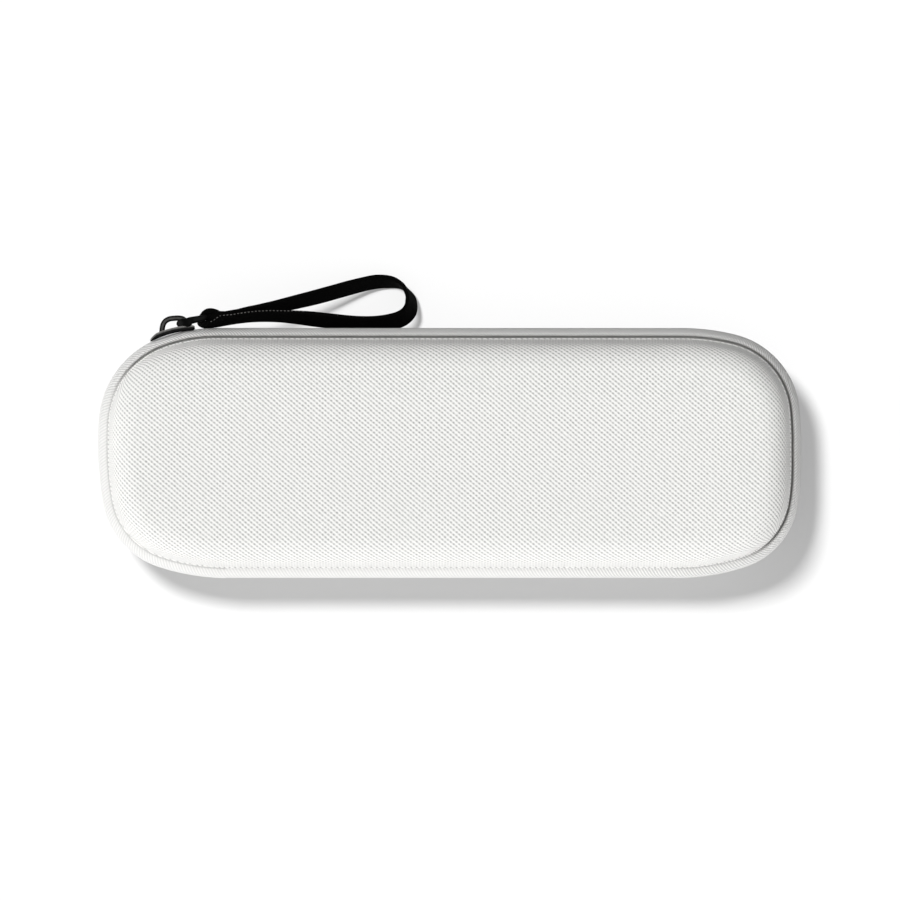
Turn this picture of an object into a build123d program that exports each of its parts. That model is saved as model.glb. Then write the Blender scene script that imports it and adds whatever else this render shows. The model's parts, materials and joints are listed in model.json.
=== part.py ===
"""Zipped hard travel case for an electric toothbrush.

A clamshell of two moulded shells that meet at a horizontal parting plane. A zip runs round the left,
far and right sides, a fabric hinge joins the shells along the near side, and a webbing loop hangs
from the zip's slider. Millimetres, +X along the case, +Z up. The origin is the middle of the face
that the case rests on.
"""

import os
from math import atan, cos, degrees, radians, sin, tan

from build123d import *

# ---------------------------------------------------------------- driving dimensions
# Outline over the zip, and the two halves.
case_length = 220.0
case_width = 78.2
case_height = 44.0
corner_radius = 30.6
shell_gap = 0.6  # between the two shells' edges at the parting plane

# Shell: moulded foam under fabric, with a lip above the zip and a slimmer tongue behind it.
lip_inset = 3.1
lip_rise = 6.5  # from the parting plane to the seam where zip tape meets lip
tongue_inset = 4.0
shell_wall = 3.1
wall_draft = 9.0
edge_fillet = 8.5

# Inner skins.
glue_gap = 0.1
lining_thickness = 0.6
binding_thickness = 0.8

# Zip tape and coil.
tape_thickness = 0.7
tape_top_inset = 2.75
tape_gap = 1.0  # between the two tapes' edges, where the slider's post runs
coil_depth = 1.3
coil_width = 1.9
coil_end_reach = 9.1  # from the near side to where the coil stops
stop_length = 3.0
stop_wall = 0.3

# Hinge panels.
hinge_length = 140.0
seam_gap = 0.2

# Slider, riding on the far left corner.
slider_start = 90.4
slider_end = 118.2
slider_width = 7.2
outer_plate = 0.85
inner_plate = 1.0
plate_clearance = 0.25
coil_clearance = 0.5
post_thickness = 0.5
post_start = 92.0
post_end = 95.0
crown_start = 95.0
crown_end = 110.6
crown_leg = 2.9
crown_thickness = 1.5
crown_width = 3.0
crown_gap = 2.1

# Pull tab: a flared link between the slider's crown and the webbing.
pivot_angle = 99.4
pivot_pin = 0.75
link_length = 8.7
link_heading = 11.3
arm_thickness = 1.1
arm_clearance = 0.4
bar_pin = 0.75

# Webbing loop.
webbing_width = 8.0
webbing_thickness = 1.3
bar_clearance = 0.3
strap_fall_x = 0.195  # how far the loop's plane drops for each millimetre along X
strap_fall_y = 0.69  # and along Y
strap_route = [
    (-72.7, 43.5),
    (-66.0, 43.8),
    (-59.0, 44.7),
    (-50.7, 46.5),
    (-40.6, 49.2),
    (-30.5, 52.2),
    (-22.0, 53.4),
    (-14.2, 51.6),
    (-11.3, 47.4),
    (-14.4, 42.6),
    (-21.2, 40.7),
    (-28.4, 40.2),
    (-41.3, 41.0),
    (-50.6, 42.2),
    (-58.0, 42.6),
    (-64.0, 41.8),
]

# Elastic bands sewn across the base, and the net pocket in the lid.
band_places = {"elastic_band_head": -48.0, "elastic_band_handle": 40.0}
band_width = 20.0
band_thickness = 1.2
band_half_span = 21.5
band_sewn = 6.0
band_rise = 2.6
patch_width = 24.0
patch_length = 5.4
patch_thickness = 0.8
net_thickness = 0.6
net_mouth = 10.0
hem_width = 5.0
hem_thickness = 1.4
skin_clearance = 0.3

# ---------------------------------------------------------------- worked out from them
parting = case_height / 2
parting_plane = Plane.XY.offset(parting)
half_length = case_length / 2
half_width = case_width / 2
corner_x = half_length - corner_radius
corner_y = half_width - corner_radius
lip_height = parting + lip_rise
shell_edge = parting + shell_gap / 2
tape_edge = parting + tape_gap / 2
cavity_inset = lip_inset + shell_wall
lining_inset = cavity_inset + glue_gap
room_inset = lining_inset + lining_thickness
lining_face = shell_wall + glue_gap + lining_thickness
binding_inset = room_inset + glue_gap
binding_face = binding_inset + binding_thickness
tape_rise = lip_height - tape_edge
tape_slope = degrees(atan(tape_top_inset / tape_rise))
coil_end_y = coil_end_reach - half_width
slider_centre = Plane(origin=(-corner_x, corner_y, parting))
outer_face = corner_radius + plate_clearance + outer_plate


def rounded_plan(inset):
    """The case's outline, drawn in by inset, in the sketch that is open."""
    RectangleRounded(case_length - 2 * inset, case_width - 2 * inset, corner_radius - inset)


def rounded_plan_cut(inset):
    """Cut the case's outline, drawn in by inset, out of the sketch that is open."""
    RectangleRounded(
        case_length - 2 * inset, case_width - 2 * inset, corner_radius - inset, mode=Mode.SUBTRACT
    )


def lid_form(inset, edge_height, roof_drop, rim_inset):
    """A solid with the lid's outer shape: drawn in by inset and lowered by roof_drop."""
    with BuildPart() as form:
        with BuildSketch(Plane.XY.offset(lip_height)):
            rounded_plan(inset)
        extrude(amount=case_height - lip_height - roof_drop, taper=wall_draft)
        fillet(form.edges().group_by(Axis.Z)[-1], edge_fillet - roof_drop)
        with BuildSketch(Plane.XY.offset(edge_height)):
            rounded_plan(rim_inset)
        extrude(amount=lip_height - edge_height)
    return form.part


def rim_band():
    """The sloping band between the parting plane and the lip, all the way round."""
    with BuildPart() as band:
        with BuildSketch(Plane.XY.offset(tape_edge)):
            rounded_plan(0)
        extrude(amount=tape_rise, taper=tape_slope)
        with BuildSketch(Plane.XY.offset(tape_edge)):
            rounded_plan(tape_thickness)
        extrude(amount=tape_rise, taper=tape_slope, mode=Mode.SUBTRACT)
    return band.part


def near_side(length):
    """A block over the near side, as long as the hinge, to keep or to cut away."""
    with BuildPart() as block:
        with BuildSketch():
            with Locations((0, -half_width / 2)):
                Rectangle(length, case_width / 2)
        extrude(amount=case_height)
    return block.part


def arc_band(inner_radius, outer_radius, start_angle, end_angle):
    """A band of a ring about the origin, as a flat face."""
    sweep_angle = end_angle - start_angle
    with BuildSketch() as band:
        with BuildLine():
            inner = CenterArc((0, 0), inner_radius, start_angle, sweep_angle)
            outer = CenterArc((0, 0), outer_radius, start_angle, sweep_angle)
            Line(inner @ 0, outer @ 0)
            Line(inner @ 1, outer @ 1)
        make_face()
    return band.sketch


def save(piece, name):
    """Label a finished piece and write its STEP file."""
    piece.label = name
    export_step(piece, f"parts/{name}.step")


def save_pair(upper, upper_name, lower_name):
    """Write a lid piece, and its mirror image in the base."""
    lower = mirror(upper, about=parting_plane, mode=Mode.PRIVATE)
    save(upper, upper_name)
    save(lower, lower_name)


# ---------------------------------------------------------------- shells and their skins
def make_shells():
    """Moulded lid and base: foam laminated with woven fabric."""
    outside = lid_form(lip_inset, shell_edge, 0, tongue_inset)
    cavity = lid_form(cavity_inset, shell_edge, shell_wall, cavity_inset)
    with BuildPart() as lid_shell:
        add(outside)
        add(cavity, mode=Mode.SUBTRACT)
    save_pair(lid_shell.part, "lid_shell", "base_shell")


def make_linings():
    """Brushed lining glued inside each shell."""
    back = lid_form(lining_inset, shell_edge, shell_wall + glue_gap, lining_inset)
    face = lid_form(room_inset, shell_edge, lining_face, room_inset)
    with BuildPart() as lid_lining:
        add(back)
        add(face, mode=Mode.SUBTRACT)
    save_pair(lid_lining.part, "lid_lining", "base_lining")


def make_bindings():
    """Ribbon sewn inside each rim, over the lining's raw edge."""
    with BuildPart() as lid_rim_binding:
        with BuildSketch(Plane.XY.offset(shell_edge)):
            rounded_plan(binding_inset)
            rounded_plan_cut(binding_face)
        extrude(amount=lip_height - glue_gap - shell_edge)
    save_pair(lid_rim_binding.part, "lid_rim_binding", "base_rim_binding")


# ---------------------------------------------------------------- zip and hinge
def make_tapes():
    """Woven zip tape on three sides, sewn under each lip."""
    band = rim_band()
    gap_for_hinge = near_side(hinge_length + 2 * seam_gap)
    with BuildPart() as zip_tape_upper:
        add(band)
        add(gap_for_hinge, mode=Mode.SUBTRACT)
    save_pair(zip_tape_upper.part, "zip_tape_upper", "zip_tape_lower")


def make_hinge():
    """Fabric panels along the near side, which fold on the line where they meet."""
    band = rim_band()
    reach = near_side(hinge_length)
    with BuildPart() as hinge_panel_upper:
        add(band)
        add(reach, mode=Mode.INTERSECT)
    save_pair(hinge_panel_upper.part, "hinge_panel_upper", "hinge_panel_lower")


def make_coils():
    """Each tape's coil, as the space that its turns fill."""
    band = rim_band()
    with BuildPart() as zip_coil_upper:
        with BuildSketch(Plane.XY.offset(tape_edge)):
            rounded_plan(tape_thickness)
            rounded_plan_cut(tape_thickness + coil_depth)
            with Locations((0, coil_end_y - half_width)):
                Rectangle(case_length, case_width, mode=Mode.SUBTRACT)
        extrude(amount=coil_width)
        add(band, mode=Mode.SUBTRACT)
    save_pair(zip_coil_upper.part, "zip_coil_upper", "zip_coil_lower")


def make_stops():
    """Metal stops pressed onto the lower tape just past each end of the coil."""
    stop_height = coil_width - 2 * stop_wall
    for side, name in ((-1, "zip_stop_left"), (1, "zip_stop_right")):
        with BuildPart() as zip_stop:
            with BuildSketch(Plane.XY.offset(parting - tape_gap / 2 - coil_width + stop_wall)):
                rounded_plan(tape_thickness + (coil_width - stop_wall) * tan(radians(tape_slope)))
                rounded_plan_cut(tape_thickness + coil_depth)
                with Locations((0, coil_end_y - stop_length / 2)):
                    Rectangle(case_length, stop_length, mode=Mode.INTERSECT)
                with Locations((-side * half_length / 2, 0)):
                    Rectangle(half_length, case_width, mode=Mode.SUBTRACT)
            extrude(amount=stop_height)
        save(zip_stop.part, name)


# ---------------------------------------------------------------- slider, pull tab and webbing
def make_slider():
    """Cast slider: two plates that clasp the zip, a post between the tapes and a crown outside."""
    inner_start = corner_radius - tape_thickness - coil_depth - coil_clearance
    plate_start = corner_radius + plate_clearance
    crown_start_radius = outer_face + crown_gap
    crown_face = crown_start_radius + crown_thickness
    with BuildPart() as zip_slider:
        with BuildSketch(slider_centre):
            add(arc_band(plate_start, outer_face, slider_start, slider_end))
            add(arc_band(inner_start - inner_plate, inner_start, slider_start, slider_end))
        extrude(amount=slider_width / 2, both=True)
        with BuildSketch(slider_centre):
            add(arc_band(inner_start, plate_start, post_start, post_end))
        extrude(amount=post_thickness / 2, both=True)
        with BuildSketch(slider_centre):
            add(arc_band(crown_start_radius, crown_face, crown_start, crown_end))
            add(arc_band(outer_face, crown_start_radius, crown_start, crown_start + crown_leg))
            add(arc_band(outer_face, crown_start_radius, crown_end - crown_leg, crown_end))
        extrude(amount=crown_width / 2, both=True)
    save(zip_slider.part, "zip_slider")


def pivot_point():
    """The middle of the pull tab's pin, resting against the crown's near leg."""
    reach = outer_face + crown_gap / 2
    angle = radians(pivot_angle)
    return Vector(-corner_x + reach * cos(angle), corner_y + reach * sin(angle), parting)


def bar_point():
    """The middle of the bar that the webbing goes round."""
    heading = radians(link_heading)
    return pivot_point() + Vector(cos(heading), sin(heading), 0) * link_length


def make_pull_tab():
    """Flared link: two arms, a pin through the crown and a bar for the webbing."""
    heading = radians(link_heading)
    link_plane = Plane(
        origin=pivot_point(),
        x_dir=(cos(heading), sin(heading), 0),
        z_dir=(sin(heading), -cos(heading), 0),
    )
    pin_half = crown_width / 2 + arm_clearance
    bar_half = webbing_width / 2 + arm_clearance
    knee = link_length - bar_pin - bar_clearance - webbing_thickness - arm_clearance
    tip = link_length + bar_pin
    with BuildPart() as pull_tab:
        with BuildSketch(link_plane):
            for side in (-1, 1):
                with BuildLine():
                    Polyline(
                        (-pivot_pin, side * pin_half),
                        (knee, side * bar_half),
                        (tip, side * bar_half),
                        (tip, side * (bar_half + arm_thickness)),
                        (knee, side * (bar_half + arm_thickness)),
                        (-pivot_pin, side * (pin_half + arm_thickness)),
                        close=True,
                    )
                make_face()
        extrude(amount=pivot_pin, both=True)
        with BuildSketch(Plane(origin=pivot_point())):
            Circle(pivot_pin)
        extrude(amount=pin_half + arm_thickness / 2, both=True)
        with BuildSketch(Plane(origin=bar_point())):
            Circle(bar_pin)
        extrude(amount=bar_half + arm_thickness / 2, both=True)
    save(pull_tab.part, "pull_tab")


def make_strap_fold():
    """The webbing where it is wrapped round the pull tab's bar."""
    with BuildPart() as strap_fold:
        with BuildSketch(Plane(origin=bar_point())):
            Circle(bar_pin + bar_clearance + webbing_thickness)
            Circle(bar_pin + bar_clearance, mode=Mode.SUBTRACT)
        extrude(amount=webbing_width / 2, both=True)
    save(strap_fold.part, "strap_fold")


def strap_plane():
    """The leaning plane that the webbing loop's middle line lies in."""
    along = Vector(1, 0, -strap_fall_x)
    lean = Vector(strap_fall_x, strap_fall_y, 1)
    return Plane(origin=bar_point(), x_dir=along, z_dir=lean)


def route_in_plane(plane):
    """The route's points, dropped onto the leaning plane and given in its own coordinates."""
    start = bar_point()
    places = []
    for x, y in strap_route:
        height = start.Z - strap_fall_x * (x - start.X) - strap_fall_y * (y - start.Y)
        local = plane.to_local_coords(Vector(x, y, height))
        places.append((local.X, local.Y))
    return places


def arc_radii(places):
    """As large an arc at each corner as its two runs allow."""
    radii = []
    for before, corner, after in zip(places, places[1:], places[2:]):
        first = Vector(*corner) - Vector(*before)
        second = Vector(*after) - Vector(*corner)
        turn = radians(first.get_angle(second))
        radii.append(0.45 * min(first.length, second.length) / tan(turn / 2))
    return radii


def make_strap():
    """The webbing loop, standing on edge and leaning, down to where it rests."""
    plane = strap_plane()
    places = route_in_plane(plane)
    radii = arc_radii(places)
    print("strap arc radii", [round(radius, 1) for radius in radii])
    with BuildPart() as pull_strap:
        with BuildSketch(plane):
            with BuildLine() as route:
                FilletPolyline(*places, radius=radii)
            trace(line_width=webbing_thickness)
        extrude(amount=webbing_width / 2, both=True)
    length = sum(edge.length for edge in route.edges())
    section_check = pull_strap.part.volume / (length * webbing_width * webbing_thickness)
    print("strap length", round(length, 1), "section check", round(section_check, 3))
    save(pull_strap.part, "pull_strap")


# ---------------------------------------------------------------- inside fittings
def make_bands():
    """Elastic bands across the base, each sewn down under a patch at both ends."""
    floor = lining_face + glue_gap
    middle = band_thickness / 2
    inner_span = band_half_span - band_sewn
    for name, place in band_places.items():
        across = Plane(origin=(place, 0, floor), x_dir=(0, 1, 0), z_dir=(1, 0, 0))
        with BuildPart() as band:
            with BuildSketch(across):
                with BuildLine():
                    Line((-band_half_span, middle), (-inner_span, middle))
                    ThreePointArc(
                        (-inner_span, middle), (0, middle + band_rise), (inner_span, middle)
                    )
                    Line((inner_span, middle), (band_half_span, middle))
                trace(line_width=band_thickness)
            extrude(amount=band_width / 2, both=True)
        save(band.part, name)
        patch_y = band_half_span - patch_length / 2
        with BuildPart() as patches:
            with BuildSketch(Plane.XY.offset(floor + band_thickness + glue_gap)):
                with Locations((place, -patch_y), (place, patch_y)):
                    Rectangle(patch_width, patch_length)
            extrude(amount=patch_thickness)
        save(patches.part, name.replace("elastic_band", "band_patches"))


def make_net_pocket():
    """Stretch net over the hinge side of the lid, with an elastic hem along its mouth."""
    net_plane = Plane.XY.offset(lip_height)
    draw_in = (net_thickness + skin_clearance) * tan(radians(wall_draft))
    with BuildPart() as net_pocket:
        with BuildSketch(net_plane):
            rounded_plan(room_inset + draw_in + skin_clearance)
            with Locations((0, net_mouth - case_width / 2)):
                Rectangle(case_length, case_width, mode=Mode.INTERSECT)
        extrude(amount=net_thickness)
    save(net_pocket.part, "net_pocket")
    with BuildPart() as pocket_hem:
        with BuildSketch(net_plane.offset(-hem_thickness / 2)):
            rounded_plan(binding_face + skin_clearance)
            with Locations((0, net_mouth + hem_width / 2)):
                Rectangle(case_length, hem_width, mode=Mode.INTERSECT)
        extrude(amount=hem_thickness)
    save(pocket_hem.part, "pocket_hem")


# ---------------------------------------------------------------- main
if __name__ == "__main__":
    os.makedirs("parts", exist_ok=True)
    make_shells()
    make_linings()
    make_bindings()
    make_tapes()
    make_hinge()
    make_coils()
    make_stops()
    make_slider()
    make_pull_tab()
    make_strap_fold()
    make_strap()
    make_bands()
    make_net_pocket()
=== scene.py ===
"""Looks of a zipped toothbrush travel case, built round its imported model.

Shapes are worked out in millimetres, as arrays of points on grids, and become metres where a surface
is made a mesh. The classes are finishes, sub-assemblies and the studio, and main() builds them in order.
"""

import json
import logging
from collections.abc import Callable
from dataclasses import dataclass
from enum import Enum
from functools import cached_property
from math import cos, pi, radians, sin, tan

import bpy
import numpy as np
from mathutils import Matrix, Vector

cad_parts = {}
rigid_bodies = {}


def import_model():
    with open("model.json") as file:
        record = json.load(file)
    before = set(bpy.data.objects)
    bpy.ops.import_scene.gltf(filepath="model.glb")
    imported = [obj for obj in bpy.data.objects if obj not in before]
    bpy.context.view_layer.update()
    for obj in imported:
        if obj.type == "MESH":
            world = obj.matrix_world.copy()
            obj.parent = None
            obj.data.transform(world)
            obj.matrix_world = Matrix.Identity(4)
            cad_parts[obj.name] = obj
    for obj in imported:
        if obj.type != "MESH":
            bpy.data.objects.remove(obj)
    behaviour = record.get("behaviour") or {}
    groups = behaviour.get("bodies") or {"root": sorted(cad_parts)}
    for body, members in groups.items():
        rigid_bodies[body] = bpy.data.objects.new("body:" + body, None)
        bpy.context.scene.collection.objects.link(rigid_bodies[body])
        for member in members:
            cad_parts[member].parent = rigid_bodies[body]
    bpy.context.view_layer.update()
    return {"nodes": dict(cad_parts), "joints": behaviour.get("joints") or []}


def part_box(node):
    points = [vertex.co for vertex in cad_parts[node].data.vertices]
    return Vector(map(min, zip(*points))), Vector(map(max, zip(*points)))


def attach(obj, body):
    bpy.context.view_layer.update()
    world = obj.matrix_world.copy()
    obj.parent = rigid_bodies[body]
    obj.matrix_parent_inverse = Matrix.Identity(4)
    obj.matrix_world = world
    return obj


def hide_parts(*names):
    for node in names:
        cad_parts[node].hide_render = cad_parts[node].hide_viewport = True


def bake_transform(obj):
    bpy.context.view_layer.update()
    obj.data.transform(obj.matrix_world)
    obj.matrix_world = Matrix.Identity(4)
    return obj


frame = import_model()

log = logging.getLogger("travel_case")

MM = 0.001
END_SHARE = 0.06
UV_NAME = "cloth"
Colour = tuple[float, float, float]
Operand = "Number | float"


# ------------------------------------------------------------------ shader maths
def node_maths(operation: str, flipped: bool = False) -> Callable[..., "Number"]:
    """A method of Number that adds one Math node, with the number as its last operand if flipped."""

    def apply(number: "Number", *others: Operand) -> "Number":
        """The result of the operation."""
        return number.nodes.math(operation, *((*others, number) if flipped else (number, *others)))

    return apply


@dataclass(frozen=True)
class Number:
    """A number in a shader. Python arithmetic on it adds Math nodes, and angles are in radians."""

    nodes: "Nodes"
    socket: bpy.types.NodeSocket

    __add__ = __radd__ = node_maths("ADD")
    __mul__ = __rmul__ = node_maths("MULTIPLY")
    __sub__ = node_maths("SUBTRACT")
    __rsub__ = node_maths("SUBTRACT", flipped=True)
    __truediv__ = node_maths("DIVIDE")
    __pow__ = node_maths("POWER")
    sine = node_maths("SINE")
    cosine = node_maths("COSINE")
    at_least = node_maths("MAXIMUM")
    at_most = node_maths("MINIMUM")

    def share(self) -> "Number":
        """This, held between 0 and 1."""
        return self.at_least(0.0).at_most(1.0)


class Nodes:
    """A node tree, emptied and built anew."""

    def __init__(self, tree: bpy.types.NodeTree) -> None:
        """Take over the tree."""
        self.tree = tree
        tree.nodes.clear()

    def feed(self, socket: bpy.types.NodeSocket, value: object) -> None:
        """Link or set one input socket."""
        value = value.socket if isinstance(value, Number) else value
        if isinstance(value, bpy.types.NodeSocket):
            self.tree.links.new(value, socket)
        else:
            socket.default_value = value

    def add(
        self, kind: str, settings: dict[str, object], inputs: dict[str | int, object]
    ) -> bpy.types.Node:
        """Add any node.

        Args:
            kind: the node's type.
            settings: its properties, which are set first.
            inputs: values or links for its sockets, by name or number.

        Returns:
            The new node.
        """
        node = self.tree.nodes.new(kind)
        for key, value in settings.items():
            setattr(node, key, value)
        for key, value in inputs.items():
            self.feed(node.inputs[key], value)
        return node

    def math(self, operation: str, *operands: Operand) -> Number:
        """One Math node on up to two numbers."""
        node = self.add("ShaderNodeMath", {"operation": operation}, dict(enumerate(operands)))
        return Number(self, node.outputs[0])

    def split(self, socket: bpy.types.NodeSocket) -> list[Number]:
        """A vector's three parts."""
        parts = self.add("ShaderNodeSeparateXYZ", {}, {0: socket}).outputs
        return [Number(self, part) for part in parts]

    def place(self) -> list[Number]:
        """The place on the object, in metres. In the surroundings, it is the direction looked in."""
        return self.split(self.add("ShaderNodeTexCoord", {}, {}).outputs["Object"])

    def ray(self, *kinds: str) -> Number:
        """One for the named kinds of ray, and zero for others."""
        path = self.add("ShaderNodeLightPath", {}, {})
        found = Number(self, path.outputs[kinds[0]])
        for kind in kinds[1:]:
            found = found.at_least(Number(self, path.outputs[kind]))
        return found


class Recipe(Nodes):
    """The node tree of one material, round one Principled shader."""

    def __init__(self, name: str, uniform: dict[str, object]) -> None:
        """Start a material.

        Args:
            name: the material's name.
            uniform: values that are the same all over, by the shader's socket names.
        """
        self.material = bpy.data.materials.new(name)
        self.material.use_nodes = True
        super().__init__(self.material.node_tree)
        self.shader = self.add("ShaderNodeBsdfPrincipled", {}, uniform)
        self.output = self.add("ShaderNodeOutputMaterial", {}, {"Surface": self.shader.outputs[0]})

    def cloth(self) -> list[Number]:
        """The piece's own UV map, which runs in millimetres along and across the cloth."""
        return self.split(self.add("ShaderNodeUVMap", {"uv_map": UV_NAME}, {}).outputs[0])[:2]

    def noise(self, scale: float, detail: float = 2.0) -> Number:
        """Smooth noise from 0 to 1 over the object, with scale features to the metre."""
        found = self.add("ShaderNodeTexCoord", {}, {}).outputs["Object"]
        node = self.add("ShaderNodeTexNoise", {}, {"Vector": found, "Scale": scale, "Detail": detail})
        return Number(self, node.outputs[0])

    def mix(self, factor: Operand, first: object, second: object) -> bpy.types.NodeSocket:
        """A colour between two, at first where the factor is 0 and second where it is 1."""
        first, second = (c if isinstance(c, bpy.types.NodeSocket) else (*c, 1.0) for c in (first, second))
        node = self.add("ShaderNodeMix", {"data_type": "RGBA"}, {0: factor, 6: first, 7: second})
        return node.outputs[2]

    def wear(self, colour: bpy.types.NodeSocket, rough: Operand, height: Operand, depth: float) -> None:
        """Feed the shader.

        Args:
            colour: base colour.
            rough: roughness.
            height: the relief, about 0 to 1.
            depth: how deep the relief is, in millimetres.
        """
        bump = self.add("ShaderNodeBump", {}, {"Distance": depth * MM, "Height": height}).outputs[0]
        for name, value in (("Base Color", colour), ("Roughness", rough), ("Normal", bump)):
            self.feed(self.shader.inputs[name], value)


# ------------------------------------------------------------------ finishes
@dataclass(frozen=True)
class ShellCloth:
    """Tight cloth over the moulded shells: pale slanting ribs, and a row of pits between each two, with
    painted grey shade in the furrows and pits.
    """

    name: str = "shell_cloth"
    yarn: Colour = (0.985, 0.98, 0.962)
    pit_shade: Colour = (0.36, 0.36, 0.352)
    across: float = 0.886
    along: float = 0.757
    drift: float = 0.3
    sharpness: float = 2.3
    furrow_depth: float = 0.22
    patchy_depth: float = 0.24
    pit_loss: float = 0.38
    rough: float = 0.8
    relief: float = 0.2

    def material(self) -> bpy.types.Material:
        """Furrows lie where the sum of two waves, one for each set of yarns, crests, and pits where
        their difference is lowest as well. Noise sets which of the two shows more."""
        recipe = Recipe(self.name, {"Specular IOR Level": 0.2})
        u, v = recipe.cloth()
        a = (u + (recipe.noise(260.0) - 0.5) * self.drift) * (pi / self.across)
        b = (v + (recipe.noise(310.0, 1.0) - 0.5) * self.drift) * (pi / self.along)
        furrow = ((a + b).cosine() * 0.5 + 0.5) ** self.sharpness
        gap = 0.5 - (a - b).cosine() * 0.5
        patchy = ((recipe.noise(170.0, 3.0) - 0.3) * 2.2).share()
        pits = gap * (1.0 - self.pit_loss * patchy)
        deep = furrow * (self.furrow_depth + self.patchy_depth * patchy + pits)
        fuzz = recipe.noise(2300.0, 3.0)
        uneven = recipe.noise(900.0, 2.0)
        # The colour darkens towards the pit colour where the relief is deep: painted shade in the furrows and
        # pits. The fuzz is random tone.
        shade = deep * (0.25 + 0.75 * uneven) + (fuzz - 0.5) * 0.2
        height = 1.0 - deep + fuzz * 0.1
        recipe.wear(recipe.mix(shade.at_least(0.0), self.yarn, self.pit_shade), self.rough, height, self.relief)
        return recipe.material


@dataclass(frozen=True)
class RibbedCloth:
    """Narrow woven goods: ribs across or aslant, with finer yarns between them."""

    name: str
    crest: Colour
    valley_shade: Colour
    rib: float
    slant: float
    relief: float
    yarn: float = 0.42
    wander: float = 0.25
    fuzz: float = 0.3
    rough: float = 0.8
    sheen: float = 0.05
    gloss: float = 0.25
    seam: tuple[float, float] | None = None
    furrow_shade_fade: float = 0.9
    furrow_shade_colour: Colour = (0.46, 0.457, 0.449)
    taut_and_lit: float = 0.0
    lit_tone: float = 0.27
    taut_and_lit_edge: float = 0.85
    taut_and_lit_fade: float = 0.6
    half_case: tuple[float, float] = (110.0, 39.1)

    def material(self) -> bpy.types.Material:
        """Ribs are a sine wave along the cloth that leans by slant, and yarns a finer wave across it.

        Between the seam's two places across the cloth, if it has one, the pattern gives way to one dark tone,
        which is painted shade in the furrow by the lip. Towards the near and left sides of the case, a given
        share of the pattern is pulled flat, with its relief, to a paler even tone, which is painted washout
        from the light there.
        """
        recipe = Recipe(self.name, {"Specular IOR Level": self.gloss, "Sheen Weight": self.sheen})
        u, v = recipe.cloth()
        wander = (recipe.noise(260.0) - 0.5) * self.wander
        rib = ((u + v * self.slant + wander) * (2 * pi / self.rib)).sine() * 0.5 + 0.5
        yarn = ((v - u * (self.slant * 0.5)) * (2 * pi / self.yarn)).sine() * 0.5 + 0.5
        fuzz = recipe.noise(3000.0, 3.0)
        # The colour runs from crest to valley where the ribs are low: painted shade between the ribs. The
        # fuzz is random tone.
        shade = (1.0 - rib) * (0.55 + 0.3 * yarn) + (fuzz - 0.5) * self.fuzz
        height = rib * 0.7 + yarn * 0.25 + fuzz * 0.15
        if self.taut_and_lit:
            # Painted washout of light: on the near and left sides the pattern's tone turns paler and even,
            # and its relief flat.
            x, y = (number / (half * MM) for number, half in zip(recipe.place(), self.half_case))
            kept = ((x + y + self.taut_and_lit_edge) / self.taut_and_lit_fade).share() * self.taut_and_lit + (1.0 - self.taut_and_lit)
            shade, height = shade * kept + (1.0 - kept) * self.lit_tone, height * kept
        colour = recipe.mix(shade.at_least(0.0), self.crest, self.valley_shade)
        if self.seam:
            start, end = self.seam
            # Painted shade in the furrow by the lip: one dark tone between the seam's two places.
            furrow_shade = ((v - start) / self.furrow_shade_fade).at_most((end - v) / self.furrow_shade_fade).share()
            colour = recipe.mix(furrow_shade, colour, self.furrow_shade_colour)
            height = height * (1.0 - furrow_shade)
        recipe.wear(colour, self.rough, height, self.relief)
        return recipe.material


@dataclass(frozen=True)
class BrushedLining:
    """Brushed knit glued inside the shells: short nap with soft, cloudy lights."""

    name: str = "brushed_lining"
    light: Colour = (0.085, 0.088, 0.094)
    dark: Colour = (0.035, 0.037, 0.041)
    rough: float = 0.95
    relief: float = 0.15

    def material(self) -> bpy.types.Material:
        """Cloudy patches, where the nap lies another way, under a grain as fine as the nap."""
        recipe = Recipe(self.name, {"Specular IOR Level": 0.15, "Sheen Weight": 0.35, "Sheen Roughness": 0.6})
        cloud = recipe.noise(60.0, 4.0)
        nap = recipe.noise(3400.0, 3.0)
        tone = (cloud - 0.3) * 1.2 + (nap - 0.5) * 0.8
        recipe.wear(recipe.mix(tone.share(), self.dark, self.light), self.rough, nap, self.relief)
        return recipe.material


@dataclass(frozen=True)
class Plastic:
    """Moulded or drawn plastic, such as a zip's coil or sewing thread."""

    name: str
    colour: Colour
    shade: Colour
    rough: float = 0.42
    grain: float = 1500.0
    relief: float = 0.01
    gloss: float = 0.5

    def material(self) -> bpy.types.Material:
        """A little mottling and a fine grain."""
        recipe = Recipe(self.name, {"Specular IOR Level": self.gloss})
        mottle = recipe.noise(self.grain, 3.0)
        colour = recipe.mix(mottle, self.shade, self.colour)
        recipe.wear(colour, mottle * 0.15 + self.rough, mottle, self.relief)
        return recipe.material


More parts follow.
